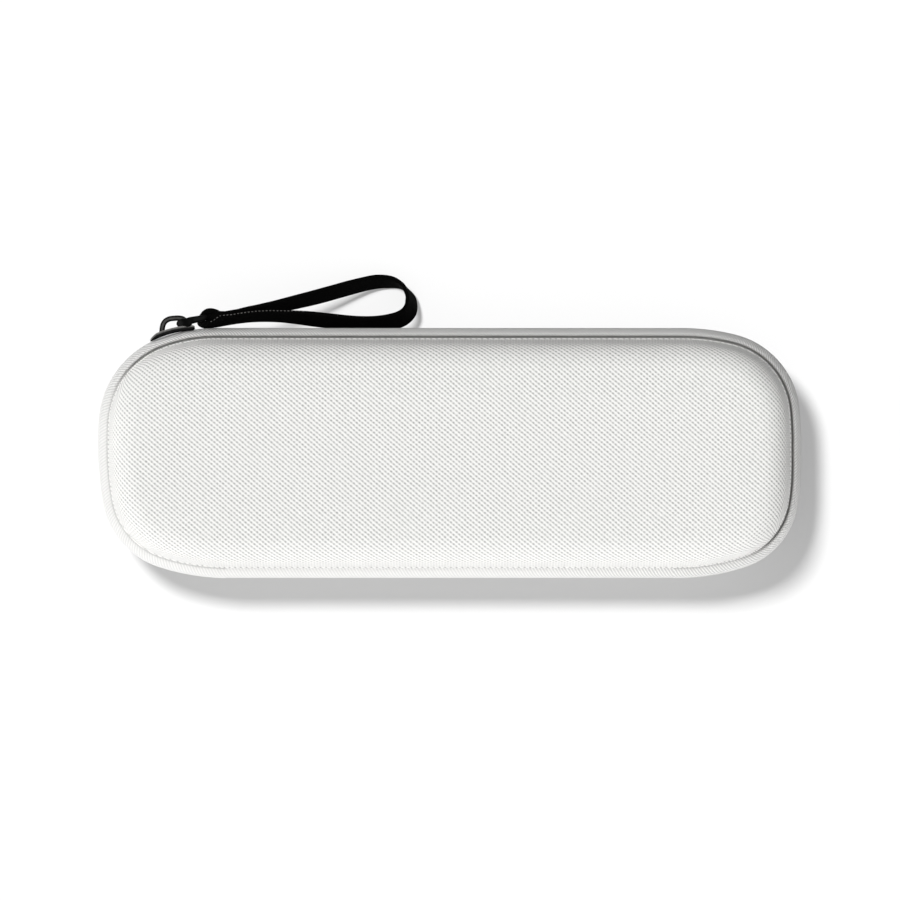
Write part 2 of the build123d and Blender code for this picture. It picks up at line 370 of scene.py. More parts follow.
@dataclass(frozen=True)
class BlackEnamel:
    """Glossy black enamel on cast zinc, slightly orange-peeled, with a painted highlight along marked edges.
    """

    name: str = "black_enamel"
    colour: Colour = (0.002, 0.002, 0.002)
    highlight_and_wear: Colour = (0.66, 0.645, 0.62)
    patches: float = 0.03
    highlight_sharpness: float = 2.2
    rough: float = 0.22
    highlight_and_wear_rough: float = 0.3
    relief: float = 0.012

    def material(self) -> bpy.types.Material:
        """A near black, with a painted highlight, lighter and duller, along the edges that the UV map's first
        value marks, and lighter rubbed patches of wear at random.
        """
        recipe = Recipe(self.name, {"Specular IOR Level": 0.03})
        peel = recipe.noise(900.0, 2.0)
        # The painted highlight's share, from the UV map's first value.
        edge = (recipe.cloth()[0] - 0.5).at_least(0.0) * 2.0
        highlight_and_wear_share = (recipe.noise(420.0, 4.0) - 0.52).at_least(0.0) * self.patches
        # The painted highlight, added on top of the random rubbed patches of wear.
        highlight_and_wear_share = highlight_and_wear_share + edge**self.highlight_sharpness * (0.25 + recipe.noise(1100.0, 3.0))
        colour = recipe.mix(highlight_and_wear_share.at_most(1.0), self.colour, self.highlight_and_wear)
        recipe.wear(colour, highlight_and_wear_share * self.highlight_and_wear_rough + self.rough, peel, self.relief)
        return recipe.material


# ------------------------------------------------------------------ surfaces
@dataclass
class Surface:
    """Quads and end caps over an array of points, with a UV pair for every corner."""

    points: np.ndarray
    quads: np.ndarray
    quad_uv: np.ndarray
    caps: list[np.ndarray]
    cap_uv: list[np.ndarray]

    def outward(self) -> "Surface":
        """The same with its faces turned outwards.

        A closed surface's volume is a sixth of the sum, over triangles fanned out from each face's first
        corner, of that corner's dot product with the cross product of the other two. It is then positive.
        """
        volume = 0.0
        for faces in (self.quads, *(cap[None] for cap in self.caps)):
            corners = self.points[faces]
            swept = np.cross(corners[:, 1:-1], corners[:, 2:]).sum(axis=1)
            volume += float((corners[:, 0] * swept).sum())
        turn = slice(None, None, -1 if volume < 0 else 1)
        return Surface(
            self.points, self.quads[:, turn], self.quad_uv[:, turn],
            [cap[turn] for cap in self.caps], [uv[turn] for uv in self.cap_uv],
        )

    @classmethod
    def grid(
        cls, points: np.ndarray, uv: np.ndarray, ring_rows: bool = False, ring_columns: bool = True
    ) -> "Surface":
        """A closed surface over a grid.

        Args:
            points: rows × columns × 3.
            uv: the same grid × 2, one row or column longer where the grid closes on itself.
            ring_rows: the last row joins the first.
            ring_columns: the last column joins the first. The open direction's ends get caps.

        Returns:
            The surface.
        """
        index = np.arange(points.shape[0] * points.shape[1]).reshape(points.shape[:2])
        if ring_rows:
            index = np.vstack([index, index[:1]])
        if ring_columns:
            index = np.hstack([index, index[:, :1]])

        def corners(grid: np.ndarray) -> np.ndarray:
            """The four corners of every quad of a grid."""
            found = np.stack([grid[:-1, :-1], grid[1:, :-1], grid[1:, 1:], grid[:-1, 1:]], axis=2)
            return found.reshape(-1, 4, *grid.shape[2:])

        ring, ends = slice(0, -1), []
        if ring_columns and not ring_rows:
            ends = [(0, ring, 1), (-1, ring, -1)]
        elif ring_rows and not ring_columns:
            ends = [(ring, 0, -1), (ring, -1, 1)]
        caps, cap_uv = ([grid[rows, columns][::step] for rows, columns, step in ends] for grid in (index, uv))
        return cls(points.reshape(-1, 3), corners(index), corners(uv), caps, cap_uv).outward()

    @classmethod
    def joined(cls, surfaces: list["Surface"]) -> "Surface":
        """Several surfaces as one, each as it is."""
        starts = np.cumsum([0] + [len(s.points) for s in surfaces])
        return cls(
            np.concatenate([s.points for s in surfaces]),
            np.concatenate([s.quads + start for s, start in zip(surfaces, starts)]),
            np.concatenate([s.quad_uv for s in surfaces]),
            [cap + start for s, start in zip(surfaces, starts) for cap in s.caps],
            [uv for s in surfaces for uv in s.cap_uv],
        )

    @classmethod
    def bars(cls, points: np.ndarray) -> "Surface":
        """Equal bars at once, from an array of bars × rings × points round a ring × 3, closed by caps."""
        count, rings, sides = points.shape[:3]
        one = cls.grid(points[0], np.zeros((rings, sides + 1, 2)))
        shift = (np.arange(count) * rings * sides)[:, None, None]
        quads = (one.quads[None] + shift).reshape(-1, 4)
        caps = [cap for end in one.caps for cap in end[None] + shift[:, 0]]
        no_uv = [np.zeros((sides, 2))] * len(caps)
        return cls(points.reshape(-1, 3), quads, np.zeros((len(quads), 4, 2)), caps, no_uv)

    def mesh(self, name: str, crease: float) -> bpy.types.Mesh:
        """A smooth-shaded mesh in metres, with edges sharper than crease degrees kept sharp."""
        mesh = bpy.data.meshes.new(name)
        faces = self.quads.tolist() + [cap.tolist() for cap in self.caps]
        mesh.from_pydata((self.points * MM).tolist(), [], faces)
        flat = np.concatenate([self.quad_uv.reshape(-1, 2), *self.cap_uv])
        mesh.uv_layers.new(name=UV_NAME).data.foreach_set("uv", flat.astype(np.float32).ravel())
        mesh.polygons.foreach_set("use_smooth", np.ones(len(faces), dtype=bool))
        mesh.set_sharp_from_angle(angle=radians(crease))
        mesh.update()
        return mesh


class Body(Enum):
    """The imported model's bodies, which pieces ride on."""

    BASE = "base"
    LID = "lid"
    SLIDER = "slider"
    PULL = "pull"
    STRAP = "strap"

    @classmethod
    def half(cls, lid: bool) -> "Body":
        """The lid, or the base."""
        return cls.LID if lid else cls.BASE


def in_scene(name: str, data: bpy.types.ID) -> bpy.types.Object:
    """A new object for some data, put into the scene."""
    made = bpy.data.objects.new(name, data)
    bpy.context.scene.collection.objects.link(made)
    return made


def fit(
    name: str, surface: Surface, material: bpy.types.Material, body: Body | None,
    replaced: tuple[str, ...] = (), crease: float = 40.0,
) -> bpy.types.Object:
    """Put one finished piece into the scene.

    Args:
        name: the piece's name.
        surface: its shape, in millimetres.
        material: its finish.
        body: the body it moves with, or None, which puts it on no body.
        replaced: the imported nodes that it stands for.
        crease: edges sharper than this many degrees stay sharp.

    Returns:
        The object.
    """
    piece = in_scene(name, surface.mesh(name, crease))
    piece.data.materials.append(material)
    if body:
        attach(piece, body.value)
    if replaced:
        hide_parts(*replaced)
    log.info("%s: %d faces on %s", name, len(piece.data.polygons), body.value if body else "two bodies")
    return piece


def together(*parts: np.ndarray | float) -> np.ndarray:
    """Arrays or numbers side by side on a new last axis, each spread to the shape of them all."""
    return np.stack(np.broadcast_arrays(*parts), axis=-1)


def circle(sides: int) -> np.ndarray:
    """Angles evenly round a circle."""
    return np.linspace(0, 2 * pi, sides, endpoint=False)


def lengths(points: np.ndarray) -> np.ndarray:
    """How far along a line of points each of them lies."""
    steps = np.linalg.norm(np.diff(points, axis=0), axis=-1)
    return np.concatenate([[0.0], np.cumsum(steps)])


def unit(vectors: np.ndarray) -> np.ndarray:
    """The vectors at length one."""
    return vectors / np.maximum(np.linalg.norm(vectors, axis=-1, keepdims=True), 1e-12)


def square_to(forward: np.ndarray, side: np.ndarray) -> np.ndarray:
    """Directions at right angles to forward, nearest to side, which is one for all or one for each."""
    side = np.broadcast_to(np.asarray(side, float), forward.shape)
    return unit(side - forward * np.einsum("ij,ij->i", side, forward)[:, None])


def bar(
    line: np.ndarray, side: np.ndarray, half_side: np.ndarray | float, half_up: np.ndarray | float,
    sides: int = 16, squareness: float = 2.0, rounding: float = 0.0,
) -> Surface:
    """A bar along a line, with a superellipse section.

    A section's point at angle t is side·a·|cos t|^(2/n) + up·b·|sin t|^(2/n), with the signs of the
    cosine and sine kept, where n is the squareness. Up is at right angles to the line and to side.

    Args:
        line: the middle line's points.
        side: the section's first direction, one for all or one for each point.
        half_side: half the section's size along side.
        half_up: half its size across side.
        sides: points round the section.
        squareness: 2 is an ellipse, and more comes nearer to a rectangle.
        rounding: how far from each end the section shrinks, down to END_SHARE, to round it off.

    Returns:
        The closed bar.
    """
    run = lengths(line)
    forward = unit(np.gradient(line, axis=0))
    side = square_to(forward, side)
    shrink = np.ones(len(line))
    if rounding:
        near = np.clip(np.minimum(run, run[-1] - run) / rounding, 0.0, 1.0)
        shrink = np.sqrt(np.clip(1 - (1 - near) ** 2, 0.0, 1.0)) * (1 - END_SHARE) + END_SHARE
    turn = circle(sides)
    up = np.cross(forward, side)
    points = line[:, None]
    for towards, half, wave in ((side, half_side, np.cos(turn)), (up, half_up, np.sin(turn))):
        size = (np.broadcast_to(half, len(line)) * shrink)[:, None]
        reach = size * np.sign(wave) * np.abs(wave) ** (2 / squareness)
        points = points + towards[:, None] * reach[..., None]
    middle = points[len(line) // 2]
    girth = lengths(np.vstack([middle, middle[:1]]))
    return Surface.grid(points, together(run[:, None], girth))


def with_painted_highlight(surface: Surface, towards: float = 0.0, sides: int = 1, most: float = 1.0) -> Surface:
    """A bar whose UV map's first value is its painted highlight: a cosine, highest along one side or more.

    Args:
        surface: the bar, whose second UV value runs round its section.
        towards: a highlighted side, as a share of the way round from the section's first direction.
        sides: how many sides are highlighted, evenly round it.
        most: how strong the painted highlight on such a side is, up to 1.

    Returns:
        The same bar.
    """
    around = surface.quad_uv[..., 1] / surface.quad_uv[..., 1].max()
    # The painted highlight's share at each point round the section.
    highlight_and_wear = most * (0.5 + 0.5 * np.cos(2 * pi * sides * (around - towards)))
    surface.quad_uv = together(highlight_and_wear, around)
    surface.cap_uv = [np.zeros_like(uv) for uv in surface.cap_uv]
    return surface


def finer(line: np.ndarray, step: float) -> np.ndarray:
    """Points every step along a smooth curve through the line's points.

    Each stretch is a Catmull-Rom cubic, whose slope at a point is half the way from the point before
    to the point after.
    """
    padded = np.vstack([2 * line[0] - line[1], line, 2 * line[-1] - line[-2]])
    run = lengths(line)
    place = np.linspace(0, run[-1], max(int(run[-1] / step), 2) + 1)
    left = np.clip(np.searchsorted(run, place, side="right") - 1, 0, len(line) - 2)
    t = ((place - run[left]) / (run[left + 1] - run[left]))[:, None]
    a, b, c, d = (padded[left + offset] for offset in range(4))
    slope_b, slope_c = (c - a) / 2, (d - b) / 2
    return (
        (2 * t**3 - 3 * t**2 + 1) * b + (t**3 - 2 * t**2 + t) * slope_b
        + (3 * t**2 - 2 * t**3) * c + (t**3 - t**2) * slope_c
    )


@dataclass(frozen=True)
class Corner:
    """Three arcs that touch, from the long side to the short one: their radii, and the outer two's turns."""

    radii: tuple[float, float, float]
    long_turn: float
    short_turn: float

    @property
    def turns(self) -> tuple[float, float, float]:
        """The arcs' turns in degrees, which make up a right angle."""
        return self.long_turn, 90.0 - self.long_turn - self.short_turn, self.short_turn


@dataclass(frozen=True)
class Outline:
    """The case's plan, followed anticlockwise from the middle of the near side.

    The corners are near right, far right, far left and near left. No two of them are quite alike.
    """

    half_length: float
    half_width: float
    corners: tuple[Corner, Corner, Corner, Corner] = (
        Corner((70.0, 24.5, 70.0), 18.0, 9.5), Corner((70.0, 26.5, 110.0), 14.0, 5.5),
        Corner((52.0, 29.5, 66.0), 19.5, 5.5), Corner((70.0, 26.0, 100.0), 18.0, 10.0),
    )
    straight_step: float = 6.0
    round_step: float = 2.0

    @cached_property
    def spans(self) -> dict[str, np.ndarray]:
        """Straights and arcs in order: their radius, length, and start run, facing, heading and point.

        An arc of radius R from facing n to facing m moves by R times m less n. A straight has radius 0.
        """
        turn, radius = [0.0], [0.0]
        for corner, step in zip(self.corners, (1, -1, 1, -1)):
            turn += (*corner.turns[::step], 0.0)
            radius += (*corner.radii[::step], 0.0)
        turn, radius = np.radians(turn), np.array(radius)
        facing = np.concatenate([[0.0], np.cumsum(turn)]) - pi / 2
        normal = together(np.cos(facing), np.sin(facing))
        move = radius[:, None] * np.diff(normal, axis=0)
        taken = np.abs([move[first:first + 3].sum(axis=0) for first in (1, 5, 9, 13)])
        straight = np.array([
            self.half_length - taken[0, 0], 2 * self.half_width - taken[:2, 1].sum(),
            2 * self.half_length - taken[1:3, 0].sum(), 2 * self.half_width - taken[2:, 1].sum(),
            self.half_length - taken[3, 0],
        ])
        length = radius * turn
        length[::4] = straight
        ahead = together(-normal[:-1, 1], normal[:-1, 0])
        move[::4] = ahead[::4] * straight[:, None]
        point = np.array([0.0, -self.half_width]) + np.vstack([np.zeros(2), np.cumsum(move, axis=0)])
        return {
            "radius": radius, "length": length, "start": np.cumsum(length) - length,
            "facing": facing[:-1], "normal": normal[:-1], "ahead": ahead, "point": point[:-1],
        }

    @property
    def total(self) -> float:
        """The length of the whole outline."""
        return float(self.spans["length"].sum())

    def follow(self, run: np.ndarray) -> tuple[np.ndarray, np.ndarray]:
        """The outline's own point and the outward direction at each run."""
        spans = self.spans
        wrapped = np.mod(run, self.total)
        span = np.searchsorted(spans["start"], wrapped, side="right") - 1
        beyond = (wrapped - spans["start"][span])[..., None]
        radius = spans["radius"][span][..., None]
        bend = np.where(radius > 0, 1 / np.maximum(radius, 1.0), 0.0)
        angle = spans["facing"][span] + (beyond * bend)[..., 0]
        out = together(np.cos(angle), np.sin(angle))
        straight = spans["ahead"][span] * beyond * (radius == 0)
        return spans["point"][span] + radius * (out - spans["normal"][span]) + straight, out

    def place(self, run: np.ndarray, inset: np.ndarray | float, height: np.ndarray | float) -> np.ndarray:
        """Points in the outline's own terms.

        Args:
            run: how far round.
            inset: how far in from the outline.
            height: up.

        Returns:
            Points, as an array one axis longer.
        """
        run, inset, height = np.broadcast_arrays(run, inset, height)
        edge, out = self.follow(run)
        return np.concatenate([edge - out * inset[..., None], height[..., None]], axis=-1)

    def stations(self, start: float, end: float) -> np.ndarray:
        """Runs from start to end, closer together round the corners."""
        laps = [self.spans["start"] + self.total * lap for lap in (-1, 0, 1)]
        edges = np.unique(np.concatenate([*laps, [start, end]]))
        edges = edges[(edges >= start - 1e-9) & (edges <= end + 1e-9)]
        found = []
        for first, last in zip(edges, edges[1:]):
            near, far = self.follow(np.array([first + 1e-6, last - 1e-6]))[1]
            step = self.straight_step if near @ far > 0.999999 else self.round_step
            found.append(np.linspace(first, last, max(int((last - first) / step + 0.999), 1) + 1)[:-1])
        return np.concatenate([*found, [end]])

    def near_corners(self, inset: float) -> tuple[np.ndarray, np.ndarray, np.ndarray]:
        """The near right and near left corners, from the middle of the near side up to the short sides.

        Args:
            inset: how far in from the outline.

        Returns:
            How far round each place is from that middle, and both corners' points in plan.
        """
        runs = np.linspace(0.0, self.total / 4, 800)
        return runs, self.place(runs, inset, 0.0)[:, :2], self.place(-runs, inset, 0.0)[:, :2]

    def run_at(self, y: float) -> tuple[float, float]:
        """The runs on the right and the left side where the near corners pass a given y."""
        runs, right, left = self.near_corners(0.0)
        return float(np.interp(y, right[:, 1], runs)), self.total - float(np.interp(y, left[:, 1], runs))

    def band(
        self, section: Callable[[np.ndarray], np.ndarray], start: float | None = None,
        end: float | None = None,
    ) -> Surface:
        """A closed section carried round the outline or a stretch of it.

        Args:
            section: gives the section's insets and heights at each of the runs that it is asked for.
            start: the first run, or None for the whole outline.
            end: the last run.

        Returns:
            The surface.
        """
        whole = start is None
        runs = self.stations(0.0, self.total)[:-1] if whole else self.stations(start, end)
        sections = section(runs)
        sections = np.broadcast_to(sections, (len(runs), *sections.shape[1:]))
        points = self.place(runs[:, None], sections[..., 0], sections[..., 1])
        along = np.append(runs, self.total) if whole else runs
        rings = np.concatenate([sections, sections[:, :1]], axis=1)
        rings = np.concatenate([rings, rings[:1]]) if whole else rings
        around = np.cumsum(np.linalg.norm(np.diff(rings, axis=1, prepend=rings[:, :1]), axis=-1), axis=1)
        return Surface.grid(points, together(along[:, None], around), ring_rows=whole)


# ------------------------------------------------------------------ the case
@dataclass(frozen=True)
class Case:
    """Sizes that several sub-assemblies share."""

    outline: Outline
    parting: float
    height: float
    lip_inset: float = 3.1
    lip_rise: float = 6.5
    tongue_inset: float = 4.0
    shell_wall: float = 3.1
    draft: float = 9.0
    fillet: float = 8.5
    edge_gap: float = 0.3
    skin: float = 0.1

    @property
    def lip(self) -> float:
        """The height of the lid's lip."""
        return self.parting + self.lip_rise

    @property
    def rim(self) -> float:
        """The height of the inside's edge in the lid."""
        return self.parting + self.edge_gap

    def half(self, section: np.ndarray, lid: bool) -> np.ndarray:
        """A lid's section, or its mirror image for the base."""
        return section if lid else section * (1, -1) + (0, 2 * self.parting)

    def mould(self, inset: float, drop: float, foot: float, crown: float = 0.0) -> np.ndarray:
        """One face of the moulding, from the flat of its roof out and down to the lip.

        Args:
            inset: the face's inset at the lip.
            drop: how far its roof lies under the case's top.
            foot: the height where the face ends.
            crown: how far the roof's edge lies under its middle.

        Returns:
            Insets and heights. The wall leans by the draft, and a round of the fillet less the drop
            touches both wall and roof.
        """
        radius = self.fillet - drop
        lean = radians(self.draft)
        top = self.height - drop - crown
        corner = inset + (top - self.lip) * tan(lean)
        middle = corner + radius * tan((pi / 2 - lean) / 2)
        roof = np.array([23.0, 21.2, 19.4, 17.5, 15.6])
        share = (roof - middle) / (roof[0] - middle)
        flat = together(roof, top + crown * (1 - (1 - share) ** 2))
        slope = np.linspace(0, pi / 2 - lean, 16)
        bend = together(middle - radius * np.sin(slope), top - radius * (1 - np.cos(slope)))
        heights = np.linspace(bend[-1, 1], foot, 4)[1:]
        wall = together(inset + (heights - self.lip) * tan(lean), heights)
        return np.vstack([flat, bend, wall])


@dataclass(frozen=True)
class Shell:
    """One moulded half: cloth-covered foam with a lip over the zip, and a brushed lining inside."""

    case: Case
    lid: bool
    cloth: bpy.types.Material
    lining: bpy.types.Material
    binding: bpy.types.Material
    thread: bpy.types.Material
    ledge: float = 0.4
    ledge_rise: float = 0.5
    tongue_round: float = 0.3
    crown: float = 0.35
    lining_thickness: float = 0.6
    binding_thickness: float = 0.8
    stitch_pitch: float = 3.2
    stitch_length: float = 2.2
    stitch_radius: float = 0.2
    stitch_rise: float = 0.3
    stitch_sunk: float = 0.22
    stitch_rows: tuple[float, float] = (1.2, 1.1)

    @property
    def body(self) -> Body:
        """The body that this half is."""
        return Body.half(self.lid)

    @property
    def lining_back(self) -> float:
        """How far in the back of the lining lies at the rim."""
        return self.case.lip_inset + self.case.shell_wall + self.case.skin

    @property
    def ribbon_back(self) -> float:
        """How far in the back of the ribbon lies."""
        return self.lining_back + self.lining_thickness + self.case.skin

    def put(
        self, name: str, surface: Surface, material: bpy.types.Material, node: str = "",
        crease: float = 40.0,
    ) -> bpy.types.Object:
        """Put one piece of this half into the scene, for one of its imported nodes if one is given."""
        half = self.body.value
        replaced = (f"{half}_{node}",) if node else ()
        return fit(f"{half}_{name}", surface, material, self.body, replaced, crease)

    def closed(self, section: np.ndarray, unfold: bool) -> Surface:
        """A section whose two ends lie in the roof, turned round the outline, with both ends capped.

        Args:
            section: insets and heights, from the roof's middle out and back to it.
            unfold: lay the cloth flat outwards from the roof, so its weave keeps its size down the wall.

        Returns:
            The surface.
        """
        outline = self.case.outline
        section = self.case.half(section, self.lid)
        runs = outline.stations(0.0, outline.total)[:-1]
        points = outline.place(runs[:, None], section[None, :, 0], section[None, :, 1])
        path = lengths(section)
        if unfold:
            flat = outline.place(runs[:, None], section[0, 0] - path[None], 0.0)[..., :2]
            uv = np.concatenate([flat, flat[:1]])
        else:
            uv = together(np.append(runs, outline.total)[:, None], path)
        return Surface.grid(points, uv, ring_rows=True, ring_columns=False)

    def moulding(self) -> bpy.types.Object:
        """The shell itself, with the lip's edge standing out past the foot of its wall."""
        case = self.case
        inner = case.lip_inset + case.shell_wall
        outside = case.mould(
            case.lip_inset + self.ledge, 0.0, case.lip + self.ledge_rise, self.crown if self.lid else 0.0
        )
        edge = np.array([(0.34, 0.44), (0.25, 0.42), (0.16, 0.34), (0.1, 0.18), (0.16, 0.03), (0.28, 0.0)])
        tongue = np.array([
            (case.tongue_inset, case.lip), (case.tongue_inset, case.rim + self.tongue_round),
            (case.tongue_inset + self.tongue_round, case.rim), (inner, case.rim),
        ])
        inside = case.mould(inner, case.shell_wall, case.lip)[::-1]
        section = np.vstack([outside, edge + (case.lip_inset, case.lip), tongue, inside])
        return self.put("shell_cloth", self.closed(section, True), self.cloth, "shell", 50.0)

    def inside_skin(self) -> bpy.types.Object:
        """The lining, a thin skin that follows the moulding's inner face."""
        case = self.case
        back_inset, drop = self.lining_back, case.shell_wall + case.skin
        face_inset = back_inset + self.lining_thickness
        back = case.mould(back_inset, drop, case.lip)
        face = case.mould(face_inset, drop + self.lining_thickness, case.lip)
        section = np.vstack([back, [(back_inset, case.rim), (face_inset, case.rim)], face[::-1]])
        return self.put("lining_cloth", self.closed(section, False), self.lining, "lining", 50.0)

    def rim_ribbon(self) -> bpy.types.Object:
        """The binding: a ribbon sewn inside the rim, swelling a little between its stitched edges."""
        case, outer = self.case, self.ribbon_back
        low, high = case.rim, case.lip - case.skin
        rise = np.linspace(0, 1, 9)
        swell = self.binding_thickness * (0.62 + 0.38 * np.sin(pi * rise) ** 0.6)
        face = together(outer + swell, low + rise * (high - low))
        section = case.half(np.vstack([[(outer, high), (outer, low)], face]), self.lid)
        surface = case.outline.band(lambda runs: section[None])
        return self.put("rim_ribbon", surface, self.binding, "rim_binding")

    def rim_stitches(self) -> bpy.types.Object:
        """Lockstitches that hold the ribbon: a row along each edge of short threads, dipping at their ends.

        Each is a bar of five rings whose middle stands proud and swells, as a sine of the way along it.
        """
        outline = self.case.outline
        count = int(outline.total / self.stitch_pitch)
        inset = self.ribbon_back + self.binding_thickness - self.stitch_sunk
        bulge = np.sin(pi * np.linspace(0, 1, 5))
        turn = circle(6)
        thick = (self.stitch_radius * (0.4 + 0.6 * bulge))[:, None]
        starts = np.arange(count) * outline.total / count
        runs = starts[:, None] + self.stitch_length * np.linspace(0, 1, 5)
        insets = inset + self.stitch_rise * bulge[:, None] + thick * np.cos(turn)
        from_rim, from_lip = self.stitch_rows
        rows = []
        for height in (self.case.parting + from_rim, self.case.lip - from_lip):
            middle = height if self.lid else 2 * self.case.parting - height
            rows.append(Surface.bars(outline.place(runs[..., None], insets, middle + thick * np.sin(turn))))
        return self.put("rim_stitches", Surface.joined(rows), self.thread)


@dataclass(frozen=True)
class Stitching:
    """A row of equal stitches: short threads whose middles stand proud, as a sine of the way along each.

    They start every pitch from first on, and the last one at least clear before the row's end.
    """

    pitch: float
    stitch: float
    first: float
    clear: float
    rise: tuple[float, float, float]
    radius: float

    def along(self, path: np.ndarray) -> Surface:
        """The row along a path: rings of six points, upright and square to each thread's own chord."""
        run = lengths(path)
        share = np.linspace(0, 1, 5)
        starts = np.arange(self.first, run[-1] - self.clear, self.pitch)
        place = starts[:, None] + share * self.stitch
        middle = together(*(np.interp(place, run, path[:, axis]) for axis in range(3)))
        middle = middle + np.array(self.rise) * np.sin(pi * share)[:, None]
        up, turn = np.array([0.0, 0.0, 1.0]), circle(6)
        aside = unit(np.cross(middle[:, -1:] - middle[:, :1], up))
        ring = aside[:, :, None] * np.cos(turn)[:, None] + up * np.sin(turn)[:, None]
        return Surface.bars(middle[:, :, None] + self.radius * ring)


@dataclass(frozen=True)
class Zip:
    """Woven tapes, nylon coils and end stops on the left, far and right sides.

    The seam is how far from the middle of the near side the tapes start and the hinge ends.
    """

    case: Case
    tape: bpy.types.Material
    coil: bpy.types.Material
    steel: bpy.types.Material
    seam: float = 70.0
    coil_low_y: float = -30.0
    tape_gap: float = 0.5
    pitch: float = 1.27
    filament: float = 0.25
    coil_inset: float = 1.62
    coil_depth: float = 0.34
    coil_rise: float = 0.95
    coil_reach: float = 1.1
    samples: int = 12
    snug_side: tuple[float, float] = (-0.7071, -0.7071)
    snug_from: float = -0.5
    snug_span: float = 1.1

    def tape_section(self, runs: np.ndarray) -> np.ndarray:
        """The upper tape at each run: a round face that rises inwards to a bead, and a furrow by the lip.

        On the far and right sides the stitching pulls the tape down into a deep furrow. On the near and
        left sides it lies snug against the lip. Between them the one section turns into the other.
        """
        edge, lip = self.case.parting + self.tape_gap, self.case.lip
        deep = [
            (0.0, 0.12), (0.1, 1.2), (0.32, 2.25), (0.8, 3.45), (1.25, 4.5), (1.65, 5.15), (2.0, 5.35),
            (2.28, 5.15), (2.46, 4.6), (2.58, 3.8), (2.68, 2.9), (2.9, 2.65), (3.17, 2.9),
        ]
        snug = [
            (0.0, 0.12), (0.08, 1.6), (0.22, 3.1), (0.5, 4.35), (0.95, 5.0), (1.5, 5.3), (2.0, 5.42),
            (2.26, 5.46), (2.5, 5.46), (2.7, 5.44), (2.88, 5.44), (3.04, 5.48), (3.22, 5.52),
        ]
        back = np.array([
            (3.4, lip - 0.04), (3.9, lip - 0.04), (3.9, lip - 1.2), (3.5, lip - 3.8), (2.3, edge + 2.5),
            (1.3, edge + 1.5), (0.72, edge + 0.1), (0.6, edge), (0.12, edge),
        ])
        towards = self.case.outline.follow(runs)[1] @ self.snug_side
        share = np.clip((towards - self.snug_from) / self.snug_span, 0, 1)
        share = (share**2 * (3 - 2 * share))[:, None, None]
        face = np.array(deep) * (1 - share) + np.array(snug) * share + (0.0, edge)
        return np.concatenate([face, np.broadcast_to(back, (len(runs), *back.shape))], axis=1)

    def tapes(self) -> None:
        """Both tapes."""
        outline = self.case.outline
        end = outline.total - self.seam
        for lid, name in ((True, "zip_tape_upper"), (False, "zip_tape_lower")):
            surface = outline.band(lambda runs: self.case.half(self.tape_section(runs), lid), self.seam, end)
            fit(f"{name}_weave", surface, self.tape, Body.half(lid), (name,), crease=55.0)

    def coils(self) -> None:
        """Both coils, as flattened helices half a pitch apart, so that their turns mesh at the parting."""
        outline = self.case.outline
        start, end = outline.run_at(self.coil_low_y)
        turns = int((end - start) / self.pitch)
        angle = np.linspace(0, 2 * pi * turns, turns * self.samples + 1)
        inset = self.coil_inset - self.coil_depth * np.cos(angle)
        for lid, name in ((True, "zip_coil_upper"), (False, "zip_coil_lower")):
            run = start + self.pitch * (angle / (2 * pi) + (0.0 if lid else 0.5))
            rise = self.coil_rise + self.coil_reach * np.sin(angle)
            line = outline.place(run, inset, self.case.parting + rise * (1 if lid else -1))
            facing = outline.follow(run)[1]
            along = together(-facing[:, 1], facing[:, 0], 0.0)
            surface = bar(line, along, self.filament, self.filament, sides=6)
            fit(f"{name}_turns", surface, self.coil, Body.half(lid), (name,), crease=180.0)

    def stops(self) -> None:
        """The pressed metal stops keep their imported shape."""
        for name in ("zip_stop_left", "zip_stop_right"):
            dress(name, self.steel)


def dress(node: str, material: bpy.types.Material) -> None:
    """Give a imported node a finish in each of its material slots."""
    piece = frame["nodes"][node]
    if not piece.material_slots:
        piece.data.materials.append(material)
    for place in piece.material_slots:
        place.material = material
    log.info("%s: packed shape, finish %s", node, material.name)


@dataclass(frozen=True)
class Hinge:
    """The near side's cloth hinge: one panel from lip to lip, which folds on the parting line.

    It takes the tape's section from bead, its first point past the coil edge, over back, where the face
    ends, to cut, where the section turns in to the coil again.
    """

    case: Case
    cloth: bpy.types.Material
    half_length: float
    fold: float = 1.1
    fold_reach: float = 1.2
    front_bow: tuple[float, float] = (0.06, 0.2)
    rear_bow: tuple[float, float] = (0.72, 0.25)
    bead: int = 1
    back: int = 13
    cut: int = 18

    def panel(self, tape_section: Callable[[np.ndarray], np.ndarray]) -> bpy.types.Object:
        """The panel, from the tapes' own section without their coil edge, blended over the fold."""
        case = self.case
        bend = np.linspace(-1, 1, 7)[1:-1]
        front, rear = (
            together(inset + bow * bend**2, case.parting + rise * bend * self.fold_reach)
            for (inset, bow), rise in ((self.front_bow, 1), (self.rear_bow, -1))
        )

        def section(runs: np.ndarray) -> np.ndarray:
            """Up the face of the lower half, out round the fold, over the upper half and down behind."""
            upper = tape_section(runs)
            lower = case.half(upper, False)
            out, behind = (np.broadcast_to(part, (len(runs), *part.shape)) for part in (front, rear))
            return np.concatenate([
                lower[:, self.bead:self.back][:, ::-1], out, upper[:, self.bead:self.cut], behind,
                lower[:, self.back:self.cut][:, ::-1],
            ], axis=1)

        surface = case.outline.band(section, -self.half_length, self.half_length)
        piece = fit(
            "hinge_gusset", surface, self.cloth, None,
            ("hinge_panel_lower", "hinge_panel_upper"), crease=70.0,
        )
        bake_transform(piece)
        return piece


